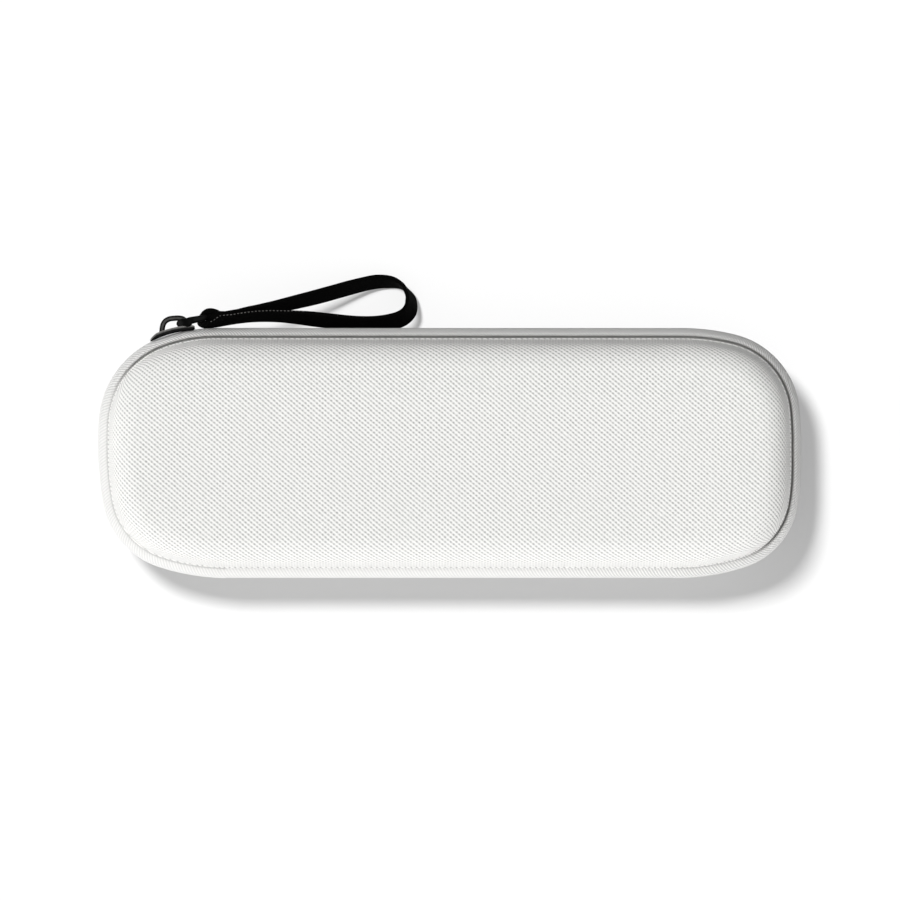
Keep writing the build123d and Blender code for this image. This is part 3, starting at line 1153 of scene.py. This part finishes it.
# ------------------------------------------------------------------ slider, link and webbing
@dataclass(frozen=True)
class Slider:
    """Cast slider on the far left corner: outer and inner plate, post, curled edges and arched crown."""

    axis: tuple[float, float]
    parting: float
    metal: bpy.types.Material
    front: float = 90.5
    tail: float = 118.2
    half_plate: float = 3.55
    inner_face: float = 30.65
    outer_face: float = 31.5
    curl: float = 29.8
    inner_plate: float = 26.95
    half_sheet: float = 0.42
    inner_share: float = 0.68
    post_angle: float = 93.5
    post_half: tuple[float, float] = (0.24, 0.75)
    crown_half: tuple[float, float] = (1.45, 0.86)
    crown_waist: float = 0.25
    slim_from: float = 0.35
    slimming: float = 0.12
    taper_from: float = 0.8
    thinning: float = 0.3
    plate_dip: float = 1.1
    curl_dip: float = 1.35

    def arc(
        self, radius: np.ndarray | float, angle: np.ndarray | float, rise: np.ndarray | float = 0.0
    ) -> np.ndarray:
        """Points about the slider's axis, at a radius, an angle in degrees and a height over the zip."""
        x, y = self.axis
        angle = np.radians(angle)
        return together(x + radius * np.cos(angle), y + radius * np.sin(angle), self.parting + rise)

    def body(self) -> bpy.types.Object:
        """All of the slider's solids as one piece.

        Plates and curls follow its arc. Towards the tail they grow slimmer from one share of the way, and
        thin and dip inwards from another.
        """
        angle = np.linspace(self.front, self.tail, 41)
        out = self.arc(1.0, angle) - self.arc(0.0, angle)
        share = (angle - self.front) / (self.tail - self.front)
        slim = np.clip((share - self.slim_from) / (1 - self.slim_from), 0, 1)
        half_height = self.half_plate * (1 - self.slimming * slim**1.5)
        taper = np.clip((share - self.taper_from) / (1 - self.taper_from), 0, 1)
        dip = taper**1.3
        thick = (self.outer_face - self.inner_face) / 2 * (1 - self.thinning * taper)
        plate = bar(
            self.arc(self.outer_face - thick - self.plate_dip * dip, angle), out, thick, half_height,
            sides=28, squareness=5.0, rounding=1.1,
        )
        half = (self.outer_face - 0.04 - self.curl_dip * dip - self.curl) / 2
        curls = [
            bar(
                self.arc(self.curl + half, angle, side * (half_height - self.half_sheet)), out, half,
                self.half_sheet, sides=20, squareness=3.5, rounding=0.8,
            ) for side in (-1, 1)
        ]
        inner = bar(
            self.arc(self.inner_plate, angle), out, self.half_sheet, half_height * self.inner_share,
            sides=24, squareness=5.0, rounding=1.0,
        )
        across = np.linspace(self.inner_plate, self.inner_face + 0.2, 7)
        post = bar(self.arc(across, self.post_angle), (0, 0, 1), *self.post_half, squareness=4.0)
        # Painted highlights on the plate's top and bottom edges, the curls' outer sides and the crown's top
        # and bottom edges. The inner plate and post get none.
        solids = [
            with_painted_highlight(plate, 0.25, 2, 0.8), with_painted_highlight(inner, most=0.0), with_painted_highlight(post, most=0.0),
            *(with_painted_highlight(curl) for curl in curls), with_painted_highlight(self.crown(), 0.0, 2, 0.72),
        ]
        return fit(
            "slider_body", Surface.joined(solids), self.metal, Body.SLIDER, ("zip_slider",),
        )

    def crown(self) -> Surface:
        """The arch that holds the link: a half-round strap from the plate's tail side over to its front."""
        plan = np.array([
            (-90.0, 37.6), (-89.85, 39.05), (-89.55, 40.25), (-88.85, 41.3), (-87.6, 41.95), (-86.1, 42.15),
            (-84.65, 42.2), (-83.45, 41.95), (-82.6, 41.2), (-82.2, 40.1), (-82.1, 39.2),
        ])
        line = finer(np.column_stack([plan, np.full(len(plan), self.parting)]), 0.3)
        half_width, half_thickness = self.crown_half
        half_width = half_width - self.crown_waist * np.sin(np.linspace(0, pi, len(line)))
        return bar(line, (0, 0, 1), half_width, half_thickness, sides=20, squareness=2.5)


@dataclass(frozen=True)
class Link:
    """Flared metal link between the slider's crown and the webbing: two arms, a pin and a bar."""

    pivot: Vector
    bar_place: Vector
    metal: bpy.types.Material
    arm_half: float = 0.55

    def at(
        self, along: np.ndarray | float, aside: np.ndarray | float, rise: np.ndarray | float
    ) -> np.ndarray:
        """Points in the link's own terms: along it, to its left, and up."""
        c, s, _ = (self.bar_place - self.pivot).normalized()
        x, y, z = self.pivot
        return together(x + along * c - aside * s, y + along * s + aside * c, z + rise)

    @property
    def length(self) -> float:
        """From the pin to the bar."""
        return (self.bar_place - self.pivot).length

    def body(self) -> bpy.types.Object:
        """Both arms, with a swollen eye at the pivot, and the pin and bar between them."""
        left = self.at(0.0, 1.0, 0.0) - self.at(0.0, 0.0, 0.0)
        reach = self.length
        along = np.array([-0.75, -0.3, 0.5, 1.4, 2.3, 3.0, 3.6, 5.2, 6.9, 8.0, reach, reach + 0.6])
        rise = np.array([2.45, 2.45, 2.5, 2.75, 3.2, 3.6, 3.9, 4.7, 4.95, 4.97, 4.97, 4.97])
        aside = np.array([-0.45, -0.45, -0.42, -0.42, -0.5, -0.5, -0.15, -0.1, -0.15, -0.1, 0.0, 0.0])
        half = np.array([0.7, 0.98, 1.3, 1.45, 1.48, 1.42, 1.12, 1.0, 0.98, 0.9, 0.7, 0.58])
        solids = []
        for side in (-1, 1):
            chosen = self.at(along, aside, rise * side)
            line = finer(chosen, 0.25)
            run = lengths(chosen)
            width = np.interp(np.linspace(0, 1, len(line)), run / run[-1], half)
            solids.append(bar(line, left, width, self.arm_half, sides=20, squareness=3.2, rounding=0.7))
        for place, half_height, count, radius in ((0.0, 2.6, 7, 0.5), (reach, 5.0, 9, 0.56)):
            upright = self.at(place, 0.0, np.linspace(-half_height, half_height, count))
            solids.append(bar(upright, left, radius, radius, sides=20))
        solid = Surface.joined([with_painted_highlight(part, most=0.0) for part in solids])
        return fit("link_body", solid, self.metal, Body.PULL, ("pull_tab",))


@dataclass(frozen=True)
class WristStrap:
    """Webbing loop: folded round the link's bar, and lying on edge beside the far side, leaning out."""

    bar_place: np.ndarray
    webbing: bpy.types.Material
    thread: bpy.types.Material
    width: float = 8.0
    thickness: float = 1.3
    fall_x: float = 0.186
    fall_y: float = 0.645
    length: float = 135.0
    seam_start: float = 107.0
    seam_end_x: float = -70.5
    core_half: float = 1.3
    stitching: Stitching = Stitching(
        pitch=1.15, stitch=0.575, first=0.3, clear=1.15, rise=(0.0, -0.05, 0.16), radius=0.15
    )

    def route(self) -> np.ndarray:
        """The loop's listed points in plan, dropped onto the leaning plane through the bar."""
        plan = np.array([
            (-72.1, 43.35), (-65.6, 44.2), (-58.7, 44.8), (-50.6, 46.75), (-40.6, 49.2), (-30.5, 52.15),
            (-21.7, 54.3), (-13.7, 52.8), (-11.3, 47.0), (-13.9, 42.25), (-20.8, 40.6), (-28.6, 40.35),
            (-40.5, 41.75), (-49.9, 42.75), (-58.7, 43.0), (-66.2, 42.3), (-72.7, 41.0),
        ])
        return np.column_stack([plan, self.drop(plan)])

    def drop(self, plan: np.ndarray) -> np.ndarray:
        """The leaning plane's height over places in plan."""
        offset = plan - self.bar_place[:2]
        return self.bar_place[2] - self.fall_x * offset[:, 0] - self.fall_y * offset[:, 1]

    def spline(self) -> np.ndarray:
        """Points along the smooth NURBS curve of the route."""
        route = self.route()
        curve = bpy.data.curves.new("strap_route", "CURVE")
        curve.dimensions = "3D"
        spline = curve.splines.new("NURBS")
        spline.points.add(len(route) - 1)
        spline.points.foreach_set("co", np.column_stack([route * MM, np.ones(len(route))]).ravel())
        spline.order_u, spline.resolution_u, spline.use_endpoint_u = 3, 16, True
        guide = bpy.data.objects.new("strap_route", curve)
        mesh = bpy.data.meshes.new_from_object(guide)
        points = np.empty(len(mesh.vertices) * 3)
        mesh.vertices.foreach_get("co", points)
        for holder, made in ((bpy.data.objects, guide), (bpy.data.meshes, mesh), (bpy.data.curves, curve)):
            holder.remove(made)
        return points.reshape(-1, 3) / MM

    def ribbon(self, line: np.ndarray, width: np.ndarray, swell: np.ndarray | float = 1.0) -> Surface:
        """Webbing along a line: nearly flat faces and rounded, slightly thicker selvedges.

        Args:
            line: its middle line.
            width: the direction of its width, one for all or one for each point.
            swell: how many times its own thickness it is, at each point.

        Returns:
            The closed webbing.
        """
        forward = unit(np.gradient(line, axis=0))
        width = square_to(forward, width)
        face = np.cross(forward, width) * np.broadcast_to(swell, len(line))[:, None]
        half, thick = self.width / 2, self.thickness / 2
        across = np.array([-1, -0.97, -0.9, -0.8, -0.4, 0, 0.4, 0.8, 0.9, 0.97]) * half
        deep = np.array([0, 0.62, 0.95, 0.9, 0.84, 0.84, 0.84, 0.9, 0.95, 0.62]) * thick
        across = np.concatenate([across, [half], across[:0:-1]])
        deep = np.concatenate([deep, [0], -deep[:0:-1]])
        points = line[:, None] + width[:, None] * across[:, None] + face[:, None] * deep[:, None]
        girth = np.concatenate([across, across[:1]]) + half
        return Surface.grid(points, together(lengths(line)[:, None], girth))

    def widths(self, line: np.ndarray) -> np.ndarray:
        """The width's direction along the loop, from upright at the bar to square to the leaning plane.

        It leans out over the far ply, stands up at the pinch where the loop turns back, then leans in.
        The lean is a straight-line blend between listed places along the loop.
        """
        place = [0, 5, 9, 14, 25, 34, 42, 52, 57, 61, 65, 70, 76, 84, 94, 104, 114, 128]
        east = [
            0, 0.03, 0.07, 0.12, 0.16, 0.19, 0.19, 0.15, 0.1, 0, -0.35, -0.45, -0.2, 0.05, 0.16, 0.15, 0.09,
            0.07,
        ]
        north = [
            0.03, 0.1, 0.27, 0.44, 0.58, 0.68, 0.68, 0.57, 0.42, 0.15, 0.2, 0.5, 0.66, 0.64, 0.6, 0.58, 0.4,
            0.33,
        ]
        run = lengths(line)
        return unit(together(np.interp(run, place, east), np.interp(run, place, north), 1.0))

    def fold(self) -> bpy.types.Object:
        """The webbing round the bar: a thick rolled bend, with the sewn ends turned in between its sides."""
        plan = np.array([
            (-71.2, 41.05), (-72.9, 40.7), (-74.7, 40.25), (-76.4, 40.2), (-77.7, 40.6), (-78.15, 41.4),
            (-77.65, 42.4), (-76.95, 43.2), (-75.9, 43.75), (-74.5, 43.9), (-73.1, 43.6), (-72.0, 43.2),
            (-70.6, 43.25),
        ])
        height = self.bar_place[2]
        line = finer(np.column_stack([plan, (self.drop(plan) + height) / 2]), 0.3)
        share = np.linspace(0, 1, len(line))
        swell = np.interp(share, [0, 0.15, 0.4, 0.52, 0.68, 0.85, 1], [1, 1.25, 1, 0.95, 1.4, 1.25, 0.9])
        upright = np.array([0.05, 0.16, 1.0])
        bend = self.ribbon(line, upright, swell)
        ends = np.linspace((-70.6, 42.2, height), (-76.6, 42.1, height), 9)
        core = bar(
            ends, upright, self.width / 2 - 0.25, self.core_half, sides=20, squareness=4.0, rounding=0.3
        )
        return fit(
            "strap_fold_webbing", Surface.joined([bend, core]), self.webbing, Body.STRAP,
            ("strap_fold",), crease=60.0,
        )

    def seam(self, line: np.ndarray, widths: np.ndarray) -> bpy.types.Object:
        """Stitches along the near ply's upper selvedge, which curl down over the rolled bend at the bar."""
        over = np.array([(-71.2, 43.0), (-72.4, 42.5), (-73.3, 41.8), (-74.3, 41.2), (-75.6, 40.65)])
        over = np.column_stack([over, (self.drop(over) + self.bar_place[2] + self.width) / 2])
        edge = line + widths * (self.width / 2 - 0.02) + (0.0, 0.25, 0.0)
        edge = edge[(lengths(line) > self.seam_start) & (line[:, 0] > self.seam_end_x)]
        row = self.stitching.along(finer(np.vstack([edge[::4], over]), 0.2))
        return fit("strap_seam", row, self.thread, Body.STRAP)

    def loop(self) -> bpy.types.Object:
        """The whole loop, its fold and its seam stitches."""
        line = self.spline()
        widths = self.widths(line)
        piece = fit(
            "strap_webbing", self.ribbon(line, widths), self.webbing, Body.STRAP,
            ("pull_strap",), crease=60.0,
        )
        self.length * MM
        self.fold()
        self.seam(line, widths)
        return piece


# ------------------------------------------------------------------ fittings inside
@dataclass(frozen=True)
class Bands:
    """Two elastic bands across the base, each sewn down under a patch at both ends."""

    elastic: bpy.types.Material
    patch: bpy.types.Material
    thread: bpy.types.Material
    floor: float = 3.9
    width: float = 20.0
    thickness: float = 1.2
    half_span: float = 21.5
    sewn: float = 6.0
    rise: float = 2.6
    drawn_in: float = 0.5
    patch_start: float = 16.1
    patch_half_width: float = 12.0
    patch_thickness: float = 0.8
    patch_gap: float = 0.1
    seam_half: tuple[float, float] = (11.0, 1.9)
    seam_sunk: float = 0.1
    stitching: Stitching = Stitching(
        pitch=2.0, stitch=1.45, first=0.2, clear=1.45, rise=(0.0, 0.0, 0.22), radius=0.17
    )

    def band(self, name: str, place: float) -> None:
        """One band: flat where it is sewn, a low arch between, its width drawn in slightly at the crest."""
        y = np.linspace(-self.half_span, self.half_span, 61)
        free = self.half_span - self.sewn
        arch = np.clip(1 - (y / free) ** 2, 0, 1)
        line = together(place, y, self.floor + self.thickness / 2 + self.rise * arch)
        half_width = self.width / 2 - self.drawn_in * arch
        surface = bar(line, (1, 0, 0), half_width, self.thickness / 2, sides=28, squareness=6.0)
        fit(f"{name}_weave", surface, self.elastic, Body.BASE, (name,))

    def patches(self, name: str, place: float) -> None:
        """The two patches over a band's ends, as pillows whose edges are pressed down."""
        solids, seams = [], []
        half_thick = self.patch_thickness / 2
        middle = self.floor + self.thickness + self.patch_gap + half_thick
        for side in (-1, 1):
            y = np.linspace(self.patch_start, self.half_span, 15) * side
            solids.append(bar(
                together(place, y, middle), (1, 0, 0), self.patch_half_width, half_thick, sides=32,
                squareness=8.0, rounding=0.5,
            ))
            seams.append(self.seam((place, y[[0, -1]].mean(), middle + half_thick)))
        fit(f"{name}_leather", Surface.joined(solids), self.patch, Body.BASE, (name,))
        fit(f"{name}_stitches", Surface.joined(seams), self.thread, Body.BASE)

    def seam(self, top: tuple[float, float, float]) -> Surface:
        """A box of running stitches just inside a patch's edge, round the middle of its top."""
        corners = np.array([(-1, -1), (1, -1), (1, 1), (-1, 1), (-1, -1)]) * self.seam_half
        return self.stitching.along(together(*corners.T, -self.seam_sunk) + top)


@dataclass(frozen=True)
class NetPocket:
    """Stretch net across the hinge side of the lid, with a gathered elastic hem along its mouth."""

    case: Case
    net: bpy.types.Material
    elastic: bpy.types.Material
    inset: float = 7.45
    mouth: float = 10.0
    pitch: float = 1.5
    wave: float = 4.0
    swing: float = 0.58
    half_strand: float = 0.4
    half_thickness: float = 0.14
    strand_rise: float = 0.3
    weave_rise: float = 0.08
    hem_width: float = 5.0
    hem_half_thickness: float = 0.42
    hem_end_gap: float = 0.7
    ruffle_pitch: float = 2.3
    ruffle_rise: float = 0.24
    ruffle_drawn_in: float = 0.1

    def reach(self, y: np.ndarray) -> tuple[np.ndarray, np.ndarray]:
        """The pocket's left and right ends along X at each place across it."""
        _, right, left = self.case.outline.near_corners(self.inset)
        across = -np.abs(y)
        return np.interp(across, left[:, 1], left[:, 0]), np.interp(across, right[:, 1], right[:, 0])

    def body(self) -> None:
        """Wavy strands, each a mirror image of the next, that touch at every crest and leave eyes between."""
        near = -self.case.outline.half_width + self.inset + self.half_strand
        rows = np.arange(near, self.mouth + 2 * self.half_strand, self.pitch)
        share = np.linspace(0, 1, 421)
        left, right = (end[:, None] for end in self.reach(rows))
        x = left + (right - left) * share
        flip = np.where(np.arange(len(rows)) % 2, 1.0, -1.0)[:, None]
        phase = x * (2 * pi / self.wave)
        y = rows[:, None] + self.swing * flip * np.sin(phase)
        z = self.case.lip + self.strand_rise + self.weave_rise * flip * np.cos(phase)
        slope = self.swing * flip * (2 * pi / self.wave) * np.cos(phase)
        aside = unit(together(-slope, 1.0, 0.0))
        corner = np.array([
            (1, 0.35), (0.35, 1), (-0.35, 1), (-1, 0.35), (-1, -0.35), (-0.35, -1), (0.35, -1), (1, -0.35),
        ])
        points = together(x, y, z)[:, :, None] + aside[:, :, None] * (corner[:, :1] * self.half_strand)
        points = points + np.array([0.0, 0.0, 1.0]) * (corner[:, 1:] * self.half_thickness)
        piece = fit(
            "net_pocket_mesh", Surface.bars(points), self.net, Body.LID, ("net_pocket",), crease=60.0
        )
        length, width = float(np.ptp(self.reach(np.zeros(1)))), self.mouth - near
        self.hem()

    def hem(self) -> bpy.types.Object:
        """The hem: a flat tube round elastic, gathered into small ruffles."""
        y = self.mouth + self.hem_width / 2
        left, right = (float(end[0]) for end in self.reach(np.array([y])))
        x = np.linspace(left + self.hem_end_gap, right - self.hem_end_gap, 801)
        ruffle = np.sin(x * 2 * pi / self.ruffle_pitch + 0.9 * np.sin(x * 0.31)) * 0.5 + 0.5
        surface = bar(
            together(x, y + 0.12 * np.sin(x * 0.7), self.case.lip), (0, 1, 0),
            self.hem_width / 2 - self.ruffle_drawn_in * ruffle,
            self.hem_half_thickness + self.ruffle_rise * ruffle, sides=20, squareness=3.0,
        )
        return fit(
            "pocket_hem_ruffle", surface, self.elastic, Body.LID, ("pocket_hem",), crease=70.0
        )


# ------------------------------------------------------------------ studio
@dataclass(frozen=True)
class Lamp:
    """A sun that is soft because its disc is wide."""

    name: str
    azimuth: float
    elevation: float
    strength: float
    disc: float
    floor_only: bool


@dataclass(frozen=True)
class Studio:
    """Top camera, pale floor that glows on the near and left sides, even surroundings and soft suns."""

    frame_width: float = 281.6
    target: tuple[float, float, float] = (0.16, 0.94, 22.0)
    lens: float = 500.0
    sensor: float = 36.0
    far_clip: float = 50.0
    floor_size: float = 6.0
    ambient: float = 0.68
    seen_floor: float = 0.4
    seen_glow: float = 0.27
    bounce_floor: float = 0.09
    side_glow: float = 1.15
    glow_from: tuple[float, float] = (-100.0, -30.0)
    glow_ramp: float = 10.0
    far_dim: float = 0.65
    direct: tuple[str, ...] = ("Is Camera Ray", "Is Glossy Ray", "Is Transmission Ray")
    lamps: tuple[Lamp, ...] = (
        Lamp("key_sun", 180.0, 69.4, 1.62, 50.0, False),
        Lamp("near_fill", 270.0, 8.0, 0.44, 14.0, False),
        Lamp("floor_sun", 130.0, 64.4, 5.1, 11.5, True),
    )

    def camera(self) -> None:
        """Look straight down, square to the case."""
        data = bpy.data.cameras.new("top_camera")
        data.lens = self.lens
        data.sensor_width = self.sensor
        data.clip_end = self.far_clip
        camera = in_scene("top_camera", data)
        distance = self.frame_width * self.lens / self.sensor
        x, y, z = self.target
        camera.location = Vector((x, y, z + distance)) * MM
        bpy.context.scene.camera = camera

    def shown(self, nodes: Nodes, lit: bpy.types.Node, seen: bpy.types.Node) -> bpy.types.NodeSocket:
        """One shader as light, and another as the camera and reflections see it."""
        parts = {0: nodes.ray(*self.direct), 1: lit.outputs[0], 2: seen.outputs[0]}
        return nodes.add("ShaderNodeMixShader", {}, parts).outputs[0]

    def floor(self) -> bpy.types.Object:
        """A plain white floor that keeps the case's shadow and runs out to white."""
        recipe = Recipe("floor_white", {
            "Base Color": (self.bounce_floor,) * 3 + (1.0,), "Roughness": 1.0, "Specular IOR Level": 0.0,
            "Emission Strength": self.side_glow,
        })
        x, y = (number / MM for number in recipe.place()[:2])
        beyond = (self.glow_from[0] - x).at_least(self.glow_from[1] - y) / self.glow_ramp
        glowing = recipe.mix(beyond.share(), (0.0,) * 3, (1.0,) * 3)
        recipe.feed(recipe.shader.inputs["Emission Color"], glowing)
        plain = recipe.add("ShaderNodeBsdfDiffuse", {}, {"Color": (self.seen_floor,) * 3 + (1.0,)})
        glow = recipe.add("ShaderNodeEmission", {}, {"Strength": self.seen_glow})
        seen = recipe.add("ShaderNodeAddShader", {}, {0: plain.outputs[0], 1: glow.outputs[0]})
        recipe.feed(recipe.output.inputs["Surface"], self.shown(recipe, recipe.shader, seen))
        half = self.floor_size / 2
        mesh = bpy.data.meshes.new("floor")
        plan = [(-half, -half, 0), (half, -half, 0), (half, half, 0), (-half, half, 0)]
        mesh.from_pydata(plan, [], [(0, 1, 2, 3)])
        mesh.materials.append(recipe.material)
        floor = in_scene("floor", mesh)
        return floor

    def surroundings(self) -> None:
        """White to the camera and in reflections, and dimmer as light, most of all from the far side."""
        world = bpy.data.worlds.new("surroundings")
        world.use_nodes = True
        bpy.context.scene.world = world
        sky = Nodes(world.node_tree)
        strength = self.ambient * (1.0 - self.far_dim * sky.place()[1].at_least(0.0))
        lit = sky.add("ShaderNodeBackground", {}, {"Strength": strength})
        seen = sky.add("ShaderNodeBackground", {}, {})
        sky.add("ShaderNodeOutputWorld", {}, {"Surface": self.shown(sky, lit, seen)})

    def light(self, floor: bpy.types.Object) -> None:
        """Suns for the case alone, and one that only throws its shadow on the floor."""
        for lamp in self.lamps:
            data = bpy.data.lights.new(lamp.name, "SUN")
            data.energy = lamp.strength
            data.angle = radians(lamp.disc)
            sun = in_scene(lamp.name, data)
            around, up = radians(lamp.azimuth), radians(lamp.elevation)
            towards = Vector((cos(around) * cos(up), sin(around) * cos(up), sin(up)))
            sun.rotation_euler = towards.to_track_quat("Z", "Y").to_euler()
            lit = bpy.data.collections.new(f"{lamp.name}_lights")
            lit.objects.link(floor)
            sun.light_linking.receiver_collection = lit
            state = "INCLUDE" if lamp.floor_only else "EXCLUDE"
            lit.collection_objects[0].light_linking.link_state = state

    def build(self) -> None:
        """Everything round the case."""
        self.camera()
        self.surroundings()
        self.light(self.floor())
        bpy.context.scene.view_settings.view_transform = "Standard"


def main() -> None:
    """Build the studio, then the case from its webbing inwards."""
    logging.basicConfig(level=logging.INFO, format="%(name)s %(message)s")
    Studio().build()

    enamel = BlackEnamel().material()
    webbing = RibbedCloth(
        "black_webbing", (0.0036, 0.0035, 0.0034), (0.0005, 0.0005, 0.0005), rib=0.9, slant=0.9, relief=0.08,
        sheen=0.0, gloss=0.012,
    ).material()
    seam_thread = Plastic("seam_thread", (0.17, 0.166, 0.158), (0.03, 0.03, 0.029), gloss=0.2).material()
    grey_thread = Plastic("grey_thread", (0.2, 0.2, 0.205), (0.12, 0.12, 0.125)).material()
    shell_cloth = ShellCloth().material()
    lining = BrushedLining().material()
    binding = RibbedCloth(
        "binding_ribbon", (0.16, 0.162, 0.168), (0.06, 0.06, 0.064), rib=0.55, slant=0.0, relief=0.07,
    ).material()
    # The tape: the valley colour is painted shade between the ribs, the seam band painted shade in the furrow
    # by the lip, and the near and left sides a paler even tone painted as washout from the light.
    tape = RibbedCloth(
        "zip_tape_twill", (0.985, 0.981, 0.965), (0.5, 0.498, 0.492), rib=1.0, slant=0.6, relief=0.2,
        seam=(6.8, 10.6), taut_and_lit=0.62,
    ).material()
    elastic = RibbedCloth(
        "ribbed_elastic", (0.05, 0.05, 0.053), (0.012, 0.012, 0.013), rib=1.3, slant=0.0, relief=0.16,
        yarn=0.7,
    ).material()
    coil = Plastic("nylon_coil", (0.8, 0.797, 0.785), (0.66, 0.657, 0.645)).material()
    net = Plastic("net_yarn", (0.045, 0.046, 0.05), (0.02, 0.02, 0.022), rough=0.7, relief=0.03).material()
    patch = Plastic(
        "grained_patch", (0.06, 0.06, 0.063), (0.025, 0.025, 0.027), rough=0.5, grain=900.0, relief=0.12,
    ).material()

    half_length, half_width, _ = np.array(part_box("zip_tape_lower")[1]) / MM
    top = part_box("lid_shell")[1][2] / MM
    outline = Outline(float(half_length), float(half_width))
    case = Case(outline, parting=top / 2, height=top)

    axes = {joint["name"]: Vector(joint["pos_m"]) / MM for joint in frame["joints"]}
    slider = Slider(tuple(axes["slider_travel"][:2]), case.parting, enamel)
    link = Link(axes["pull_swing"], axes["strap_swing"], enamel)
    WristStrap(np.array(link.bar_place), webbing, seam_thread).loop()
    slider.body()
    link.body()

    for lid in (True, False):
        shell = Shell(case, lid, shell_cloth, lining, binding, grey_thread)
        for build in (shell.moulding, shell.inside_skin, shell.rim_ribbon, shell.rim_stitches):
            build()

    closure = Zip(case, tape, coil, enamel)
    closure.tapes()
    closure.coils()
    closure.stops()
    Hinge(case, tape, half_length=closure.seam).panel(closure.tape_section)

    bands = Bands(elastic, patch, grey_thread)
    for end, place in (("head", -48.0), ("handle", 40.0)):
        bands.band(f"elastic_band_{end}", place)
        bands.patches(f"band_patches_{end}", place)
    NetPocket(case, net, elastic).body()


if __name__ == "__main__":
    main()
